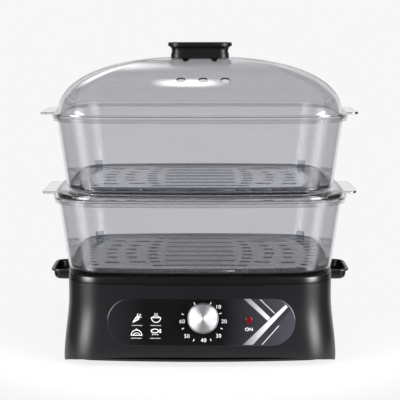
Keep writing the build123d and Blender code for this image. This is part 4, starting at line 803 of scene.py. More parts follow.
def dome_height(spot):
    """Height of the dome's outer face over a point of the plan."""
    low, high = 0.5, TOP_SHARE
    way = spot.normalized()
    for _ in range(18):
        middle = (low + high) / 2
        if dome_outline(middle, 0)(way).length > spot.length:
            low = middle
        else:
            high = middle
    return LID_FOOT + low * LID_H


def knob_outline(inset):
    """The knob's plan, moved inwards."""
    return bowed_outline(KNOB_HALF_WIDTH - inset, KNOB_HALF_DEPTH - inset, KNOB_CORNER - inset,
                         SOFT_BOW, SOFT_BOW)


def knob_foot(inset):
    """Ring of the knob's foot, lying on the dome."""
    outline = knob_outline(inset)

    def point(turn):
        spot = outline(plan_way(turn))
        return Vector((spot.x, spot.y, dome_height(spot) + 0.05 * MM))

    return point


def knob_section():
    """Heights below the knob's top and insets, from the foot's edge up to the cap."""
    waist = [(-13.5 * MM, WAIST_INSET - 1.0 * MM), (-12 * MM, WAIST_INSET - 0.3 * MM),
             (WAIST_TOP, WAIST_INSET)]
    throat = [(WAIST_TOP + THROAT_RISE * sin(t), WAIST_INSET - THROAT_FLARE * (1 - cos(t)))
              for t in (radians(a) for a in (20, 35, 50, 65, 78, 90))]
    cap = [(-CAP_T, 0.3 * MM), (-CAP_T + 0.5 * MM, 0), (-1.2 * MM, 0), (-0.35 * MM, 0.35 * MM),
           (0, 1.2 * MM), (-0.1 * MM, 2.6 * MM), (-0.5 * MM, 4.5 * MM)]
    return waist + throat + cap


knob_rings = [knob_foot(WAIST_INSET - 1.2 * MM)]
knob_rings += [flat_ring(knob_outline(inset), KNOB_TOP + height)
               for height, inset in knob_section()]
knob_mesh = ring_shell(knob_rings, ends="capped", segments=120)
finish_piece(knob_mesh, "lid_grip", knob_black, "lid", ("lid_knob",), sharp=50)

# %% [markdown]
# ## The housing
# The satin shell of the base flares towards its foot and is cut away in a long flat arch between
# its corners, so that it stands on four points. The lowest ring follows the arch and the other
# rings share out the height above it, so no face is cut by the arch. A notch in each side makes
# room for the scoops.

# %% Housing
BASE_HALF_WIDTH = 156.5 * MM
BASE_HALF_DEPTH = 107.0 * MM
BASE_CORNER = 42.0 * MM
BASE_FLARE = 6.5 * MM
FLARE_TOP = 78.0 * MM
HOUSING_FOOT = foot_of("housing")
HOUSING_WALL = 2.5 * MM
ARCH_H = 14.0 * MM
ARCH_HALF = BASE_HALF_WIDTH + BASE_FLARE - 6.0 * MM
SIDE_ARCH_H = 10.0 * MM
SIDE_ARCH_HALF = BASE_HALF_DEPTH + BASE_FLARE - 41.5 * MM
ARCH_POWER = 3.2             # with the shoulder's power, how flat and square the arch runs
SHOULDER_POWER = 0.463
RING_SHARES = (0, 0.04, 0.1, 0.2, 0.32, 0.45, 0.58, 0.7, 0.82, 0.92, 1)
SCOOP_HALF = 30.0 * MM
SCOOP_H = 13.0 * MM


def flare(height):
    """How far the housing stands out beyond its top edge at a height."""
    share = min(1.0, max(0.0, (FLARE_TOP - height) / FLARE_TOP))
    return BASE_FLARE * share ** 2 * (3 - 2 * share)


def base_outline(height, inset=0.0):
    """The housing's plan at a height, moved inwards."""
    reach = flare(height) - inset
    return bowed_outline(BASE_HALF_WIDTH + reach, BASE_HALF_DEPTH + reach, BASE_CORNER - inset)


def arch(distance, half_length, rise):
    """Height of an arch at a distance from its middle."""
    share = abs(distance) / half_length
    return 0.0 if share >= 1 else rise * (1 - share ** ARCH_POWER) ** SHOULDER_POWER


def housing_ring(share, inset):
    """One ring of the housing: its share of the height between the arched edge and the top."""
    def point(turn):
        way = plan_way(turn)
        spot = base_outline(HOUSING_FOOT, inset)(way)
        low = max(HOUSING_FOOT, arch(spot.x, ARCH_HALF, ARCH_H),
                  arch(spot.y, SIDE_ARCH_HALF, SIDE_ARCH_H))
        height = low + share * (HOUSING_TOP - low)
        spot = base_outline(height, inset)(way)
        return Vector((spot.x, spot.y, height))

    return point


housing_rings = [housing_ring(share, 0) for share in RING_SHARES]
housing_rings += [housing_ring(share, HOUSING_WALL) for share in RING_SHARES[::-1]]
housing_mesh = ring_shell(housing_rings)
notch = bmesh.new()
bmesh.ops.create_cube(notch, size=1)
bmesh.ops.scale(notch, vec=(0.5, 2 * SCOOP_HALF + 0.3 * MM, 2 * SCOOP_H), verts=notch.verts)
bmesh.ops.translate(notch, vec=(0, 0, HOUSING_TOP), verts=notch.verts)
housing_mesh = joined(housing_mesh, notch, "DIFFERENCE")
finish_piece(housing_mesh, "base_housing", satin_charcoal, "base", ("housing",),
             edge_mm=0.6)

# %% [markdown]
# ## The tank
# One polished moulding closes the top of the housing and holds the water: a gloss band outside,
# a rebate for the drip tray, a deck, and a tub with a round hole that the heating plate closes.
# One section runs from the hole under the tub, out round the band and back inside to the hole.

# %% Tank
COLLAR_WALL = 5.0 * MM
TRAY_REST = 2.6 * MM
TRAY_T = 1.8 * MM
TANK_WALL = 2.5 * MM
TUB_HALF_WIDTH = 146.0 * MM
TUB_HALF_DEPTH = 78.0 * MM
TUB_CORNER = 30.0 * MM
TUB_BOW = 4.0 * MM
TUB_FLOOR = foot_of("heater_seal") - TANK_WALL
HEATER_MIDDLE = (0.0, 20.0 * MM)
HEATER_HOLE = 38.0 * MM
DECK_TOP = HOUSING_TOP + TANK_WALL
LIP_H = 4.5 * MM             # lip that hangs inside the housing's wall
LIP_OUT = 2.65 * MM
LIP_IN = 5.15 * MM


def collar_ring(height, inset):
    """Ring that follows the housing's top edge."""
    return flat_ring(base_outline(HOUSING_TOP, inset), height)


def tub_ring(height, inset):
    """Ring of the tub."""
    outline = bowed_outline(TUB_HALF_WIDTH - inset, TUB_HALF_DEPTH - inset, TUB_CORNER - inset,
                            TUB_BOW, SOFT_BOW)
    return flat_ring(outline, height, HEATER_MIDDLE)


def hole_ring(height):
    """Ring of the heater's hole."""
    return flat_ring(lambda way: way * HEATER_HOLE, height, HEATER_MIDDLE)


tank_rings = [hole_ring(TUB_FLOOR), tub_ring(TUB_FLOOR, 3 * MM),
              tub_ring(TUB_FLOOR + 1 * MM, 1 * MM), tub_ring(TUB_FLOOR + 3 * MM, 0),
              tub_ring(HOUSING_TOP, 0), collar_ring(HOUSING_TOP, LIP_IN),
              collar_ring(HOUSING_TOP - LIP_H, LIP_IN), collar_ring(HOUSING_TOP - LIP_H, LIP_OUT),
              collar_ring(HOUSING_TOP + 0.1 * MM, LIP_OUT),
              collar_ring(HOUSING_TOP + 0.1 * MM, 0.6 * MM), collar_ring(HOUSING_TOP + 0.7 * MM, 0),
              collar_ring(COLLAR_TOP - 1.2 * MM, 0), collar_ring(COLLAR_TOP - 0.4 * MM, 0.3 * MM),
              collar_ring(COLLAR_TOP, 1.1 * MM), collar_ring(COLLAR_TOP, COLLAR_WALL - TRAY_REST),
              collar_ring(COLLAR_TOP - TRAY_T, COLLAR_WALL - TRAY_REST),
              collar_ring(COLLAR_TOP - TRAY_T, COLLAR_WALL), collar_ring(DECK_TOP, COLLAR_WALL),
              tub_ring(DECK_TOP, TANK_WALL), tub_ring(TUB_FLOOR + 5 * MM, TANK_WALL),
              tub_ring(TUB_FLOOR + 3 * MM, TANK_WALL + 1 * MM),
              tub_ring(TUB_FLOOR + TANK_WALL, 5.5 * MM), hole_ring(TUB_FLOOR + TANK_WALL)]
tank_mesh = ring_shell(tank_rings)


def neck_box(half_length, low, high, inner, outer):
    """Solid along the side of the tank where a scoop's neck passes, mirrored to both sides."""
    mesh = bmesh.new()
    bmesh.ops.create_cube(mesh, size=1)
    bmesh.ops.scale(mesh, vec=(outer - inner, 2 * half_length, high - low), verts=mesh.verts)
    bmesh.ops.translate(mesh, vec=((outer + inner) / 2, 0, (high + low) / 2), verts=mesh.verts)
    parts = mesh.verts[:] + mesh.edges[:] + mesh.faces[:]
    bmesh.ops.mirror(mesh, geom=parts, axis="X", merge_dist=-1)
    bmesh.ops.recalc_face_normals(mesh, faces=mesh.faces)
    return mesh


SCOOP_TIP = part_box("water_tank")[1].x
SCOOP_BOTTOM = HOUSING_TOP - SCOOP_H
SCOOP_FLOOR = 2.5 * MM
SCOOP_WALL = 3.0 * MM
neck = neck_box(SCOOP_HALF - SCOOP_WALL, SCOOP_BOTTOM + SCOOP_FLOOR, HOUSING_TOP - TANK_WALL,
                TUB_HALF_WIDTH - 6 * MM, TUB_HALF_WIDTH + 6 * MM)
tank_mesh = joined(tank_mesh, neck, "DIFFERENCE")
finish_piece(tank_mesh, "tank_moulding", gloss_black, "base", ("water_tank",),
             edge_mm=0.3)

# %% [markdown]
# ## The filler scoops
# On each side a scoop sticks out of the tank, so that water can be added while it cooks. It has a
# thin lip round its mouth and a pocket that draws in below it. Outside and inside follow each
# other, so it is one section carried round an oblong and not a block with a hole.

# %% Scoops
SCOOP_INNER = TUB_HALF_WIDTH - TANK_WALL
SCOOP_CORNER = 12 * MM
LIP_T = 2.2 * MM
POCKET_FLOOR = SCOOP_BOTTOM + 3.4 * MM


def scoop_station(side, height, inset):
    """One ring of a scoop."""
    half_width = (SCOOP_TIP - SCOOP_INNER) / 2
    outline = bowed_outline(half_width - inset, SCOOP_HALF - inset, SCOOP_CORNER - 0.8 * inset,
                            SOFT_BOW, SOFT_BOW)
    return flat_ring(outline, height, (side * (SCOOP_INNER + half_width), 0))


def scoop_section():
    """Heights and insets from under the floor, out over the lip and down the pocket's inside."""
    lip_foot = HOUSING_TOP - LIP_T
    under = [(SCOOP_BOTTOM, 9 * MM), (SCOOP_BOTTOM + 0.6 * MM, 6.2 * MM),
             (SCOOP_BOTTOM + 2.4 * MM, 4.2 * MM), (SCOOP_BOTTOM + 5 * MM, 3.2 * MM),
             (lip_foot - 0.4 * MM, 2.8 * MM)]
    lip = [(lip_foot, 2.2 * MM), (lip_foot, 0.4 * MM), (lip_foot + 0.5 * MM, 0),
           (HOUSING_TOP - 0.6 * MM, 0), (HOUSING_TOP - 0.1 * MM, 0.5 * MM), (HOUSING_TOP, 1.2 * MM),
           (HOUSING_TOP - 0.1 * MM, 2.4 * MM), (HOUSING_TOP - 1.2 * MM, 3.4 * MM)]
    inside = [(SCOOP_BOTTOM + 6 * MM, 5.4 * MM), (POCKET_FLOOR, 7.5 * MM),
              (SCOOP_BOTTOM + SCOOP_FLOOR, 10 * MM)]
    return under + lip + inside


for side, label in ((1, "right"), (-1, "left")):
    scoop_rings = [scoop_station(side, height, inset) for height, inset in scoop_section()]
    scoop_mesh = ring_shell(scoop_rings, ends="capped", segments=120)
    neck = neck_box(SCOOP_HALF - 8 * MM, POCKET_FLOOR, HOUSING_TOP + 1 * MM,
                    SCOOP_INNER - 2 * MM, SCOOP_INNER + 10 * MM)
    scoop_mesh = joined(scoop_mesh, neck, "DIFFERENCE")
    finish_piece(scoop_mesh, f"filler_scoop_{label}", gloss_black, "base", ("water_tank",),
                 sharp=50)

# %% [markdown]
# ## The front's surface
# Panel, prints, knob and lamp all sit on the housing's bowed front. One function gives the point
# of that surface for a place across and up, so flat artwork can be laid onto it like a sticker.


# %% Front surface
def front_point(across, height, out=0.0):
    """Point on the housing's front, moved outwards by a distance."""
    half_width = BASE_HALF_WIDTH + flare(height)
    half_depth = BASE_HALF_DEPTH + flare(height)
    radius = ((half_width - SIDE_BOW) ** 2 + FRONT_BOW ** 2) / (2 * FRONT_BOW)
    depth = half_depth - radius + sqrt(radius ** 2 - across ** 2)
    return Vector((across, -depth - out, height))


def wrap(mesh, out):
    """Lay a mesh drawn flat (x across, z up) onto the front."""
    for vertex in mesh.verts:
        vertex.co = front_point(vertex.co.x, vertex.co.z, out + vertex.co.y)
    return mesh


# %% [markdown]
# ## The control panel
# A stadium of gloss sheet, 0.6 mm proud with a rounded edge. One large face would cut straight
# through the bow, so its rings shrink to the middle line and the face is a fine grid.

# %% Control panel
PANEL_MIDDLE = Vector((1.5 * MM, 54.0 * MM))
PANEL_R = 27.0 * MM
PANEL_HALF = 107.5 * MM - PANEL_R
PANEL_OUT = 0.6 * MM
RUN = 2 * PANEL_HALF + pi * PANEL_R      # half way round the stadium
# Distances in from the edge and out of the front, in mm: back, edge, then face.
PANEL_SECTION = [(27, -0.6), (18, -0.6), (9, -0.6), (0.3, -0.6), (0, -0.4), (0, 0.15), (0.12, 0.4),
                 (0.45, 0.58), (0.9, 0.6), (3, 0.6), (7, 0.6), (12, 0.6), (17, 0.6), (22, 0.6),
                 (27, 0.6)]


def stadium(turn, inset):
    """Point of the stadium for a turn round it; its halves mirror each other, to close."""
    walked = abs(turn) / pi * RUN - pi / 2 * PANEL_R
    up = 1 if turn >= 0 else -1
    radius = PANEL_R - inset
    if 0 <= walked <= 2 * PANEL_HALF:
        return PANEL_MIDDLE + Vector((PANEL_HALF - walked, up * radius))
    side = 1 if walked < 0 else -1
    angle = pi / 2 + min(walked, 0) / PANEL_R + max(walked - 2 * PANEL_HALF, 0) / PANEL_R
    return PANEL_MIDDLE + Vector((side * PANEL_HALF + radius * cos(angle),
                                  up * radius * sin(angle)))


def panel_ring(inset, out):
    """One ring of the panel."""
    def point(turn):
        spot = stadium(turn, inset)
        return front_point(spot.x, spot.y, out)

    return point


panel_rings = [panel_ring(inset * MM, out * MM) for inset, out in PANEL_SECTION]
panel_mesh = ring_shell(panel_rings, ends="open")
bmesh.ops.remove_doubles(panel_mesh, verts=panel_mesh.verts, dist=0.02 * MM)
bmesh.ops.recalc_face_normals(panel_mesh, faces=panel_mesh.faces)
print("open edges of the panel:", sum(1 for edge in panel_mesh.edges if len(edge.link_faces) != 2))
finish_piece(panel_mesh, "control_fascia", panel_black, "base", ("control_panel",))

# %% [markdown]
# ## Print on the panel
# Numbers round the knob, ticks between them, silver stripes with a dark band beside each, and the
# word ON by the lamp. Each is drawn flat in millimetres, then wrapped less than a tenth of a
# millimetre above the panel, so that no two faces share a place.

# %% Printed legends
PRINT_OUT = PANEL_OUT + 0.08 * MM
BAND_OUT = PANEL_OUT + 0.05 * MM
NUMBER_SIZE = 6.2 * MM
ON_SIZE = 5.6 * MM
LINE_W = 0.9 * MM
TICK_HALF = 1.3
TICK_W = 0.7 * MM


def lettering(words, across, height, size):
    """Flat mesh of a word, centred on a place of the front, its strokes slimmed a little."""
    curve = bpy.data.curves.new("lettering", "FONT")
    curve.body = words
    curve.size = size
    curve.align_x = "CENTER"
    curve.align_y = "CENTER"
    curve.space_character = 1.08
    curve.offset = -0.009 * size
    holder = bpy.data.objects.new("lettering", curve)
    bpy.context.collection.objects.link(holder)
    bpy.context.view_layer.update()
    data = bpy.data.meshes.new_from_object(holder)
    mesh = bmesh.new()
    mesh.from_mesh(data)
    bpy.data.meshes.remove(data)
    bpy.data.objects.remove(holder)
    bpy.data.curves.remove(curve)
    for vertex in mesh.verts:
        vertex.co = (across + vertex.co.x, 0, height + vertex.co.y)
    return mesh


def stroke(start, end, width):
    """Flat bar from one place to another."""
    mesh = bmesh.new()
    along = Vector(end) - Vector(start)
    steps = max(2, int(along.length / (3 * MM)))
    bmesh.ops.create_grid(mesh, x_segments=steps, y_segments=1, size=0.5)
    for vertex in mesh.verts:
        spot = (Vector(start) + Vector(end)) / 2 + along * vertex.co.x
        spot += Vector((-along.y, along.x)).normalized() * vertex.co.y * width
        vertex.co = (spot.x, 0, spot.y)
    return mesh


def quad(corners):
    """Flat four-cornered field, cut into strips so that it can bend over the front."""
    mesh = bmesh.new()
    bmesh.ops.create_grid(mesh, x_segments=8, y_segments=12, size=0.5)
    low_left, low_right, high_right, high_left = (Vector(corner) * MM for corner in corners)
    for vertex in mesh.verts:
        across, up = vertex.co.x + 0.5, vertex.co.y + 0.5
        spot = low_left.lerp(low_right, across).lerp(high_left.lerp(high_right, across), up)
        vertex.co = (spot.x, 0, spot.y)
    return mesh


def printed(meshes, name, ink, out=PRINT_OUT):
    """Piece of print lying on the panel, its faces towards the front."""
    whole = wrap(gathered(meshes), out)
    bmesh.ops.recalc_face_normals(whole, faces=whole.faces)
    forward = sum(face.normal.y * face.calc_area() for face in whole.faces)
    if forward > 0:
        bmesh.ops.reverse_faces(whole, faces=whole.faces)
    return finish_piece(whole, name, ink, "base")


number_places = {"10": (20.7, 72.1), "20": (27.4, 55.4), "30": (21.0, 38.9), "40": (4.0, 33.9),
                 "50": (-14.9, 38.6), "60": (-20.4, 55.4)}
numbers = [lettering(words, x * MM, z * MM, NUMBER_SIZE) for words, (x, z) in number_places.items()]
numbers.append(lettering("ON", 55.8 * MM, 46.0 * MM, ON_SIZE))
tick_places = [(-6.2, 76.0), (12.2, 76.5), (23.2, 64.6), (24.5, 47.3), (12.2, 34.6), (-7.2, 34.1),
               (-19.5, 47.3), (-19.7, 63.7)]
DIAL_PRINT = Vector((3.5, 56.6)) * MM
for place in tick_places:
    spot = Vector(place) * MM
    along = (spot - DIAL_PRINT).normalized() * TICK_HALF * MM
    numbers.append(stroke(spot - along, spot + along, TICK_W))
printed(numbers, "dial_numbers", legend_ink)

bands = [quad([(80.3, 59.1), (83.6, 62.6), (66.9, 81.3), (57.3, 81.3)]),
         quad([(60.0, 28.4), (68.6, 28.4), (103.6, 68.0), (100.2, 71.1)])]
printed(bands, "shadow_bands", shadow_ink, BAND_OUT)
stripes = [quad([(77.3, 55.6), (80.3, 59.1), (57.3, 81.3), (49.6, 81.4)]),
           quad([(48.8, 28.5), (60.0, 28.4), (100.2, 71.1), (97.6, 73.8)])]
for start, end in (((68.4, 80.5), (84.9, 64.2)), ((70.8, 28.6), (90.1, 49.7))):
    stripes.append(stroke(Vector(start) * MM, Vector(end) * MM, LINE_W))
printed(stripes, "silver_stripes", silver_ink)

# %% [markdown]
# ## Food symbols
# Four plain symbols tell what takes how long: a root vegetable, a bowl of rice, a cake under its
# dome and a fish. Fine strokes through a few points draw them, as a screen-printing mask would,
# and a row of short dashes under each stands for its time.


# %% Food symbols
def drawn(places, width=0.55):
    """Strokes through places given in mm."""
    spots = [Vector(place) * MM for place in places]
    return [stroke(start, end, width * MM) for start, end in zip(spots, spots[1:])]


def oval(across, height, half_width, half_height, start=0.0, end=2 * pi):
    """Places along an ellipse or a part of it."""
    turns = [start + (end - start) * step / 16 for step in range(17)]
    return [(across + half_width * cos(turn), height + half_height * sin(turn)) for turn in turns]


def dashes(across, height):
    """Places of short dashes in place of a time."""
    starts = (-6.0, -4.0, -2.2, 0.2, 2.2, 4.2)
    return [[(across + start, height), (across + start + 1.3, height)] for start in starts]


root = [[(-76.6, 53.8), (-72.6, 60.2), (-69.4, 57.6), (-76.6, 53.8)],
        [(-73.6, 55.6), (-74.6, 57.0)], [(-71.6, 56.6), (-73.0, 58.6)],
        [(-70.8, 59.0), (-66.6, 60.2)], [(-71.0, 59.4), (-67.4, 63.4)],
        [(-71.8, 59.8), (-70.8, 64.2)]]
bowl = [oval(-50.1, 59.6, 5.4, 5.4, pi, 2 * pi), [(-55.9, 59.6), (-44.3, 59.6)],
        oval(-50.1, 59.8, 3.8, 1.8, 0, pi), [(-51.8, 62.8), (-51.2, 64.8)],
        [(-49.2, 62.8), (-48.6, 64.8)]]
cake = [oval(-72.4, 39.4, 6.0, 5.8, 0, pi), [(-79.2, 39.3), (-65.6, 39.3)],
        oval(-72.4, 45.8, 0.6, 0.5), oval(-72.4, 39.4, 3.4, 2.6, 0, pi)]
fish = [oval(-51.6, 44.4, 4.2, 2.2), [(-47.6, 44.4), (-44.8, 46.4), (-44.8, 42.4), (-47.6, 44.4)],
        [(-54.0, 44.9), (-53.4, 44.9)], [(-54.6, 40.9), (-53.2, 39.9)],
        [(-51.8, 40.9), (-50.4, 39.9)], [(-49.0, 40.9), (-47.6, 39.9)]]
symbol_marks = [mark for line in root + bowl + cake + fish for mark in drawn(line)]
printed(symbol_marks, "food_symbols", legend_ink)
captions = dashes(-71.5, 50.4) + dashes(-50.1, 50.6) + dashes(-72.5, 35.8) + dashes(-50.6, 36.0)
printed([mark for line in captions for mark in drawn(line, 0.9)], "time_dashes", caption_ink)

# %% [markdown]
# ## The timer's knob
# The knob turns about an axis square to the flared front. It is drawn round the upright axis and
# then laid over: a black body with a fine silver ring, and a spun aluminium face whose turned
# grooves are real, because they are what spreads the highlight into a bow-tie of light.

# %% Timer knob
timer_joint = next(joint for joint in frame["joints"] if joint["name"] == "timer_turn")
AXIS_OUT = -Vector(timer_joint["axis"])
ACROSS = Vector((0, 0, 1)).cross(AXIS_OUT).normalized() * -1
KNOB_AXES = Matrix((ACROSS, AXIS_OUT.cross(ACROSS), AXIS_OUT)).transposed().to_4x4()
KNOB_PLACE = Matrix.Translation(timer_joint["pos_m"]) @ KNOB_AXES
RIM_R = 17.4 * MM
DIAL_RIM_T = 2.4 * MM
WAIST_R = 13.8 * MM
KNOB_H = 10.0 * MM
FACE_R = 16.2 * MM
FACE_EDGE = 0.25 * MM
DIAL_GAP = 1.6 * MM          # between the panel and the knob
GROOVE = 0.45 * MM
GROOVE_DEPTH = 0.065 * MM


def round_ring(radius, height):
    """Ring of a piece of revolution."""
    return flat_ring(lambda way: way * radius, height)


def turned(section, name, material, stands_for=(), ends="capped", sharp=32):
    """Piece of revolution on the timer's axis, from its radii and heights."""
    rings = [round_ring(radius, height) for radius, height in section]
    mesh = ring_shell(rings, ends=ends, segments=120)
    bmesh.ops.transform(mesh, matrix=KNOB_PLACE, verts=mesh.verts)
    finish_piece(mesh, name, material, "timer_dial", stands_for, sharp=sharp)


top = DIAL_GAP + KNOB_H
body_section = [(WAIST_R - 1 * MM, DIAL_GAP), (WAIST_R, DIAL_GAP + 0.2 * MM),
                (WAIST_R + 0.4 * MM, DIAL_GAP + 1.4 * MM),
                (RIM_R - 0.7 * MM, top - DIAL_RIM_T - 0.4 * MM),
                (RIM_R - 0.15 * MM, top - DIAL_RIM_T + 0.1 * MM),
                (RIM_R, top - DIAL_RIM_T + 0.6 * MM), (RIM_R, top - 0.6 * MM),
                (RIM_R - 0.45 * MM, top - 0.6 * MM), (RIM_R - 0.55 * MM, top - 1.0 * MM),
                (2 * MM, top - 1.0 * MM)]
turned(body_section, "dial_body", knob_black, ("timer_knob",))

trim_section = [(RIM_R - 0.4 * MM, top - 0.65 * MM), (RIM_R - 0.4 * MM, top),
                (RIM_R - 0.3 * MM, top + 0.1 * MM), (RIM_R - 0.1 * MM, top + 0.1 * MM),
                (RIM_R, top), (RIM_R, top - 0.65 * MM)]
turned(trim_section, "dial_trim", spun_aluminium, ends="joined", sharp=60)

face_section = [(FACE_R, top - 1.0 * MM), (FACE_R, top + 0.1 * MM),
                (FACE_R - FACE_EDGE, top + 0.3 * MM)]
for quarter in range(1, int(4 * (FACE_R / GROOVE - 1))):
    radius = FACE_R - FACE_EDGE - GROOVE / 4 * quarter
    face_section.append((radius, top + 0.3 * MM + GROOVE_DEPTH * sin(quarter * pi / 2)))
turned(face_section, "dial_face", spun_aluminium, ("timer_knob_cap",), sharp=80)

# %% [markdown]
# ## Finish of the pieces that stay as built
# Everything else is carried over from the frame: its shape is right as it is, and modelling it
# again would gain nothing. Each gets the material it is made of.

# %% Carried-over pieces
finishes = {
    tray_black: ("drip_tray", "base_plate"),
    cast_aluminium: ("heater_plate",),
    stainless: ("timer_shaft", "heater_clamp"),
    dark_steel: ("lid_knob_washer", "lid_knob_screw"),
    zinc_steel: ("timer_case", "timer_back", "timer_bell", "timer_screws", "heater_nuts",
                 "base_screws", "tank_screws", "cord_clamp_screws"),
    spring_steel: ("timer_mainspring", "lamp_clip", "thermostat_bracket"),
    sheath_steel: ("heating_element",),
    brass: ("timer_contacts", "terminal_screws"),
    red_lens: ("lamp_lens",),
    bulb_glass: ("lamp_bulb",),
    silicone_red: ("heater_seal",),
    foot_rubber: ("rubber_feet", "cord_bush"),
    white_nylon: ("timer_cam", "steam_sleeve", "cord_clamp", "terminal_block"),
    phenolic: ("boil_dry_thermostat",),
    glass_sleeve: ("thermal_fuse", "fuse_lead"),
    brown_wire: ("live_lead", "switched_lead", "element_lead"),
    blue_wire: ("neutral_lead", "lamp_lead"),
}
for finish, names in finishes.items():
    for name in names:
        data = nodes[name].data
        data.materials.clear()
        data.materials.append(finish)
        data.shade_smooth()
        data.set_sharp_from_angle(angle=radians(32))
print("finished", sum(len(names) for names in finishes.values()), "carried-over pieces")

# %% [markdown]
# ## The world
# The world is the room round the steamer. One even grey would light it but leave the clear walls
# and the black parts lifeless, so what a ray finds depends on what it is. The camera sees white.
# A reflection sees white behind the steamer and beside its front, and a dim room elsewhere, which
# keeps the black parts black. A ray that passed a clear wall sees that white beside the front,
# white straight on, and a quarter of it at the other sides. One that was also mirrored on its way
# finds a bright band beside the front, which draws the upright streaks in the baskets' corners.


# %% World
WHITE = "#f7f7f7"
ROOM_LIGHT = 0.3
DARK_LIGHT = 0.08            # what a reflection sees where the studio is unlit
STREAK_LIGHT = 4.0           # lights the streaks that clear walls mirror inside themselves
world = bpy.data.worlds.new("studio_room")
bpy.context.scene.world = world
world.use_nodes = True
tree = world.node_tree
tree.nodes.clear()
rays = add_node(tree, "ShaderNodeLightPath").outputs
heading = add_node(tree, "ShaderNodeTexCoord").outputs["Generated"]
heading = add_node(tree, "ShaderNodeSeparateXYZ", {"Vector": heading}).outputs
sideways = add_node(tree, "ShaderNodeMath", {0: heading["X"]}, operation="ABSOLUTE")
regions = {}
for region, source, low, high, first, last in (
        ("below_ceiling", heading["Z"], 0.5, 0.75, 1.0, 0.0),
        ("behind", heading["Y"], 0.5, 0.8, 0.0, 1.0),
        ("ahead", heading["Y"], -0.4, -0.1, 1.0, 0.0),
        ("beside", sideways, 0.35, 0.7, 0.0, 1.0),
        ("inward", sideways, 0.24, 0.6, 1.0, 0.25),
        ("in_band", sideways, 0.75, 0.95, 1.0, 0.0)):
    regions[region] = add_node(tree, "ShaderNodeMapRange",
                               {"Value": source, "From Min": low, "From Max": high,
                                "To Min": first, "To Max": last}, **SMOOTH)
print("regions of the room:", list(regions))

# %% [markdown]
# ## What each ray sees
# A product of two shares keeps what lies in both regions, and the larger of two keeps what lies
# in either. So the whole choice is a short list of steps, each of which makes one named share.

# %% Rays
shares = {"camera": rays["Is Camera Ray"], "glossy": rays["Is Glossy Ray"],
          "passed": rays["Is Transmission Ray"], "bounces": rays["Glossy Depth"], "one": 1.0,
          **regions}
for share, operation, first, second in (
        ("screens", "MULTIPLY", "beside", "ahead"),
        ("backdrop", "MULTIPLY", "behind", "below_ceiling"),
        ("bright", "MAXIMUM", "backdrop", "screens"),
        ("mirrored", "MULTIPLY", "glossy", "bright"),
        ("straight_on", "MULTIPLY", "inward", "below_ceiling"),
        ("through_walls", "MAXIMUM", "straight_on", "screens"),
        ("bent", "MULTIPLY", "passed", "through_walls"),
        ("indirect", "MAXIMUM", "bent", "mirrored"),
        ("white", "MAXIMUM", "camera", "indirect"),
        ("band", "MULTIPLY", "screens", "in_band"),
        ("passed_band", "MULTIPLY", "passed", "band"),
        ("was_mirrored", "MINIMUM", "bounces", "one"),
        ("echo", "MULTIPLY", "was_mirrored", "passed_band")):
    shares[share] = add_node(tree, "ShaderNodeMath", {0: shares[first], 1: shares[second]},
                             operation=operation)
room_light = add_node(tree, "ShaderNodeMapRange",
                      {"Value": rays["Is Glossy Ray"], "To Min": ROOM_LIGHT, "To Max": DARK_LIGHT})
screen_light = add_node(tree, "ShaderNodeMapRange",
                        {"Value": shares["echo"], "To Min": 1.0, "To Max": 1.0 + STREAK_LIGHT})
room = add_node(tree, "ShaderNodeBackground", {"Color": linear(WHITE), "Strength": room_light})
screen = add_node(tree, "ShaderNodeBackground", {"Color": linear(WHITE), "Strength": screen_light})
chosen = add_node(tree, "ShaderNodeMixShader", {0: shares["white"], 1: room, 2: screen})
add_node(tree, "ShaderNodeOutputWorld", {"Surface": chosen})
print("nodes in the world:", len(tree.nodes))

# %% [markdown]
# ## The floor
# The steamer stands on a sheet of white paper. A large sheet would end in a line at the horizon,
# so this one fades out in an oval before its edge. Most of its white is its own, so that it meets
# the backdrop without a seam. The rest is lit, which keeps the steamer's shadow.

# %% Floor
PAPER_HALF = Vector((0.34, 0.26))
FADE_START, FADE_END = 0.72, 0.99
OWN_WHITE = 0.86             # share of the paper's white that doesn't depend on the lamps
MIRROR_DIM = 0.3             # how much less of it a reflection sees
floor_data = bpy.data.meshes.new("studio_paper")
floor_mesh = bmesh.new()
bmesh.ops.create_grid(floor_mesh, x_segments=1, y_segments=1, size=1.0)
for vertex in floor_mesh.verts:
    vertex.co.x *= PAPER_HALF.x
    vertex.co.y *= PAPER_HALF.y
floor_mesh.to_mesh(floor_data)
floor_mesh.free()
floor = bpy.data.objects.new("studio_paper", floor_data)
bpy.context.collection.objects.link(floor)
# Paper: matt, and white without a highlight.
paper, tree, shader = new_material("white_paper", Base_Color=linear(WHITE), Roughness=0.9, IOR=1.3)
place = add_node(tree, "ShaderNodeTexCoord").outputs["Object"]
spread = add_node(tree, "ShaderNodeVectorMath", {0: place, 1: (*PAPER_HALF, 1.0)},
                  operation="DIVIDE")
radius = add_node(tree, "ShaderNodeVectorMath", {0: spread}, operation="LENGTH").outputs["Value"]
gone = add_node(tree, "ShaderNodeMapRange",
                {"Value": radius, "From Min": FADE_START, "From Max": FADE_END}, **SMOOTH)
rays = add_node(tree, "ShaderNodeLightPath").outputs
seen = add_node(tree, "ShaderNodeMath",
                {0: rays["Is Glossy Ray"], 1: rays["Is Transmission Ray"]}, operation="MAXIMUM")
seen = add_node(tree, "ShaderNodeMath", {0: rays["Is Camera Ray"], 1: seen}, operation="MAXIMUM")
own_share = add_node(tree, "ShaderNodeMath", {0: seen, 1: OWN_WHITE}, operation="MULTIPLY")
own_light = add_node(tree, "ShaderNodeMapRange",
                     {"Value": rays["Is Glossy Ray"], "To Min": 1.0, "To Max": 1.0 - MIRROR_DIM})
glow = add_node(tree, "ShaderNodeEmission", {"Color": linear(WHITE), "Strength": own_light})
lit = add_node(tree, "ShaderNodeMixShader", {0: own_share, 1: shader, 2: glow})
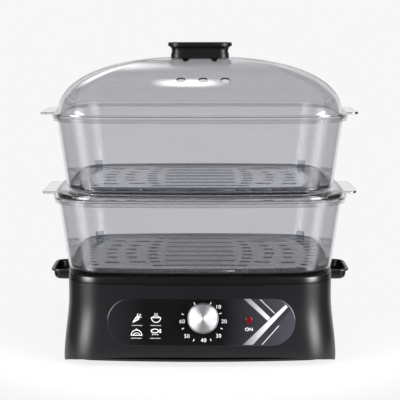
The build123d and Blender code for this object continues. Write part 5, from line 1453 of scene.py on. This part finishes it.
clear = add_node(tree, "ShaderNodeBsdfTransparent")
faded = add_node(tree, "ShaderNodeMixShader", {0: gone, 1: lit, 2: clear})
tree.links.new(faded.outputs["Shader"], tree.nodes["Material Output"].inputs["Surface"])
floor_data.materials.append(paper)
print("paper in m:", [round(2 * half, 2) for half in PAPER_HALF])

# %% [markdown]
# ## The lamps
# Two upright softboxes stand in front, to the left and the right, and draw the long highlights on
# the housing's corners. They are hidden from the camera and from rays through clear walls, which
# would otherwise show them as white panes. Two small glowing cards above give the lid its
# highlights: a plain lamp would do, but a card can fade in both directions.


# %% Lamps
def softbox(name, place, aim, width, height, power):
    """Area lamp that faces a point and fades towards its sides."""
    data = bpy.data.lights.new(name, "AREA")
    data.shape = "RECTANGLE"
    data.size = width
    data.size_y = height
    data.energy = power
    data.use_nodes = True
    tree = data.node_tree
    spot = add_node(tree, "ShaderNodeNewGeometry").outputs["Parametric"]
    spot = add_node(tree, "ShaderNodeSeparateXYZ", {"Vector": spot}).outputs["X"]
    across = add_node(tree, "ShaderNodeMath", {0: spot, 1: 0.5}, operation="SUBTRACT")
    away = add_node(tree, "ShaderNodeMath", {0: across}, operation="ABSOLUTE")
    share = add_node(tree, "ShaderNodeMapRange", {"Value": away, "From Min": 0.1, "From Max": 0.5,
                                                  "To Min": 1.0, "To Max": 0.0}, **SMOOTH)
    tree.links.new(share.outputs["Result"], tree.nodes["Emission"].inputs["Strength"])
    lamp = bpy.data.objects.new(name, data)
    lamp.location = place
    lamp.rotation_euler = (Vector(aim) - Vector(place)).to_track_quat("-Z", "Y").to_euler()
    lamp.visible_camera = False
    lamp.visible_transmission = False
    bpy.context.collection.objects.link(lamp)
    return lamp


def light_card(name, place, aim, width, height, glow, fade):
    """Glowing card whose edges fade, for highlights without an edge."""
    data = bpy.data.meshes.new(name)
    mesh = bmesh.new()
    bmesh.ops.create_grid(mesh, x_segments=1, y_segments=1, size=0.5)
    bmesh.ops.scale(mesh, vec=(width, height, 1), verts=mesh.verts)
    mesh.to_mesh(data)
    mesh.free()
    card = bpy.data.objects.new(name, data)
    card.location = place
    card.rotation_euler = (Vector(aim) - Vector(place)).to_track_quat("Z", "Y").to_euler()
    card.visible_camera = False
    bpy.context.collection.objects.link(card)
    # Gel: black in itself, so that only its glow is seen.
    material, tree, shader = new_material(name + "_gel", Base_Color=(0, 0, 0, 1), Roughness=1.0)
    place = add_node(tree, "ShaderNodeTexCoord").outputs["Object"]
    axes = add_node(tree, "ShaderNodeSeparateXYZ", {"Vector": place}).outputs
    backside = add_node(tree, "ShaderNodeNewGeometry").outputs["Backfacing"]
    share = add_node(tree, "ShaderNodeMapRange", {"Value": backside, "To Min": glow, "To Max": 0.0})
    for axis, size in (("X", width), ("Y", height)):
        away = add_node(tree, "ShaderNodeMath", {0: axes[axis]}, operation="ABSOLUTE")
        edge = add_node(tree, "ShaderNodeMapRange",
                        {"Value": away, "From Min": size / 2 * (1 - fade), "From Max": size / 2,
                         "To Min": 1.0, "To Max": 0.0}, **SMOOTH)
        share = add_node(tree, "ShaderNodeMath", {0: share, 1: edge}, operation="MULTIPLY")
    tree.links.new(share.outputs["Value"], shader.inputs["Emission Strength"])
    shader.inputs["Emission Color"].default_value = (1, 1, 1, 1)
    data.materials.append(material)
    return card


BASE_AIM = (0, 0, 0.16)
lamps = [softbox("softbox_left", (-0.75, -0.62, 0.42), BASE_AIM, 0.7, 0.84, 28.5),
         softbox("softbox_right", (0.75, -0.62, 0.42), BASE_AIM, 0.7, 0.84, 33.0),
         light_card("crown_card", (-0.42, 1.0, 1.28), (-0.05, 0, 0.33), 1.0, 0.5, 5.0, 1.0),
         light_card("slope_card", (-0.03, 0.34, 1.22), (-0.03, -0.06, 0.33), 0.2, 0.22, 11.0, 0.9)]
print("staged:", [lamp.name for lamp in lamps])
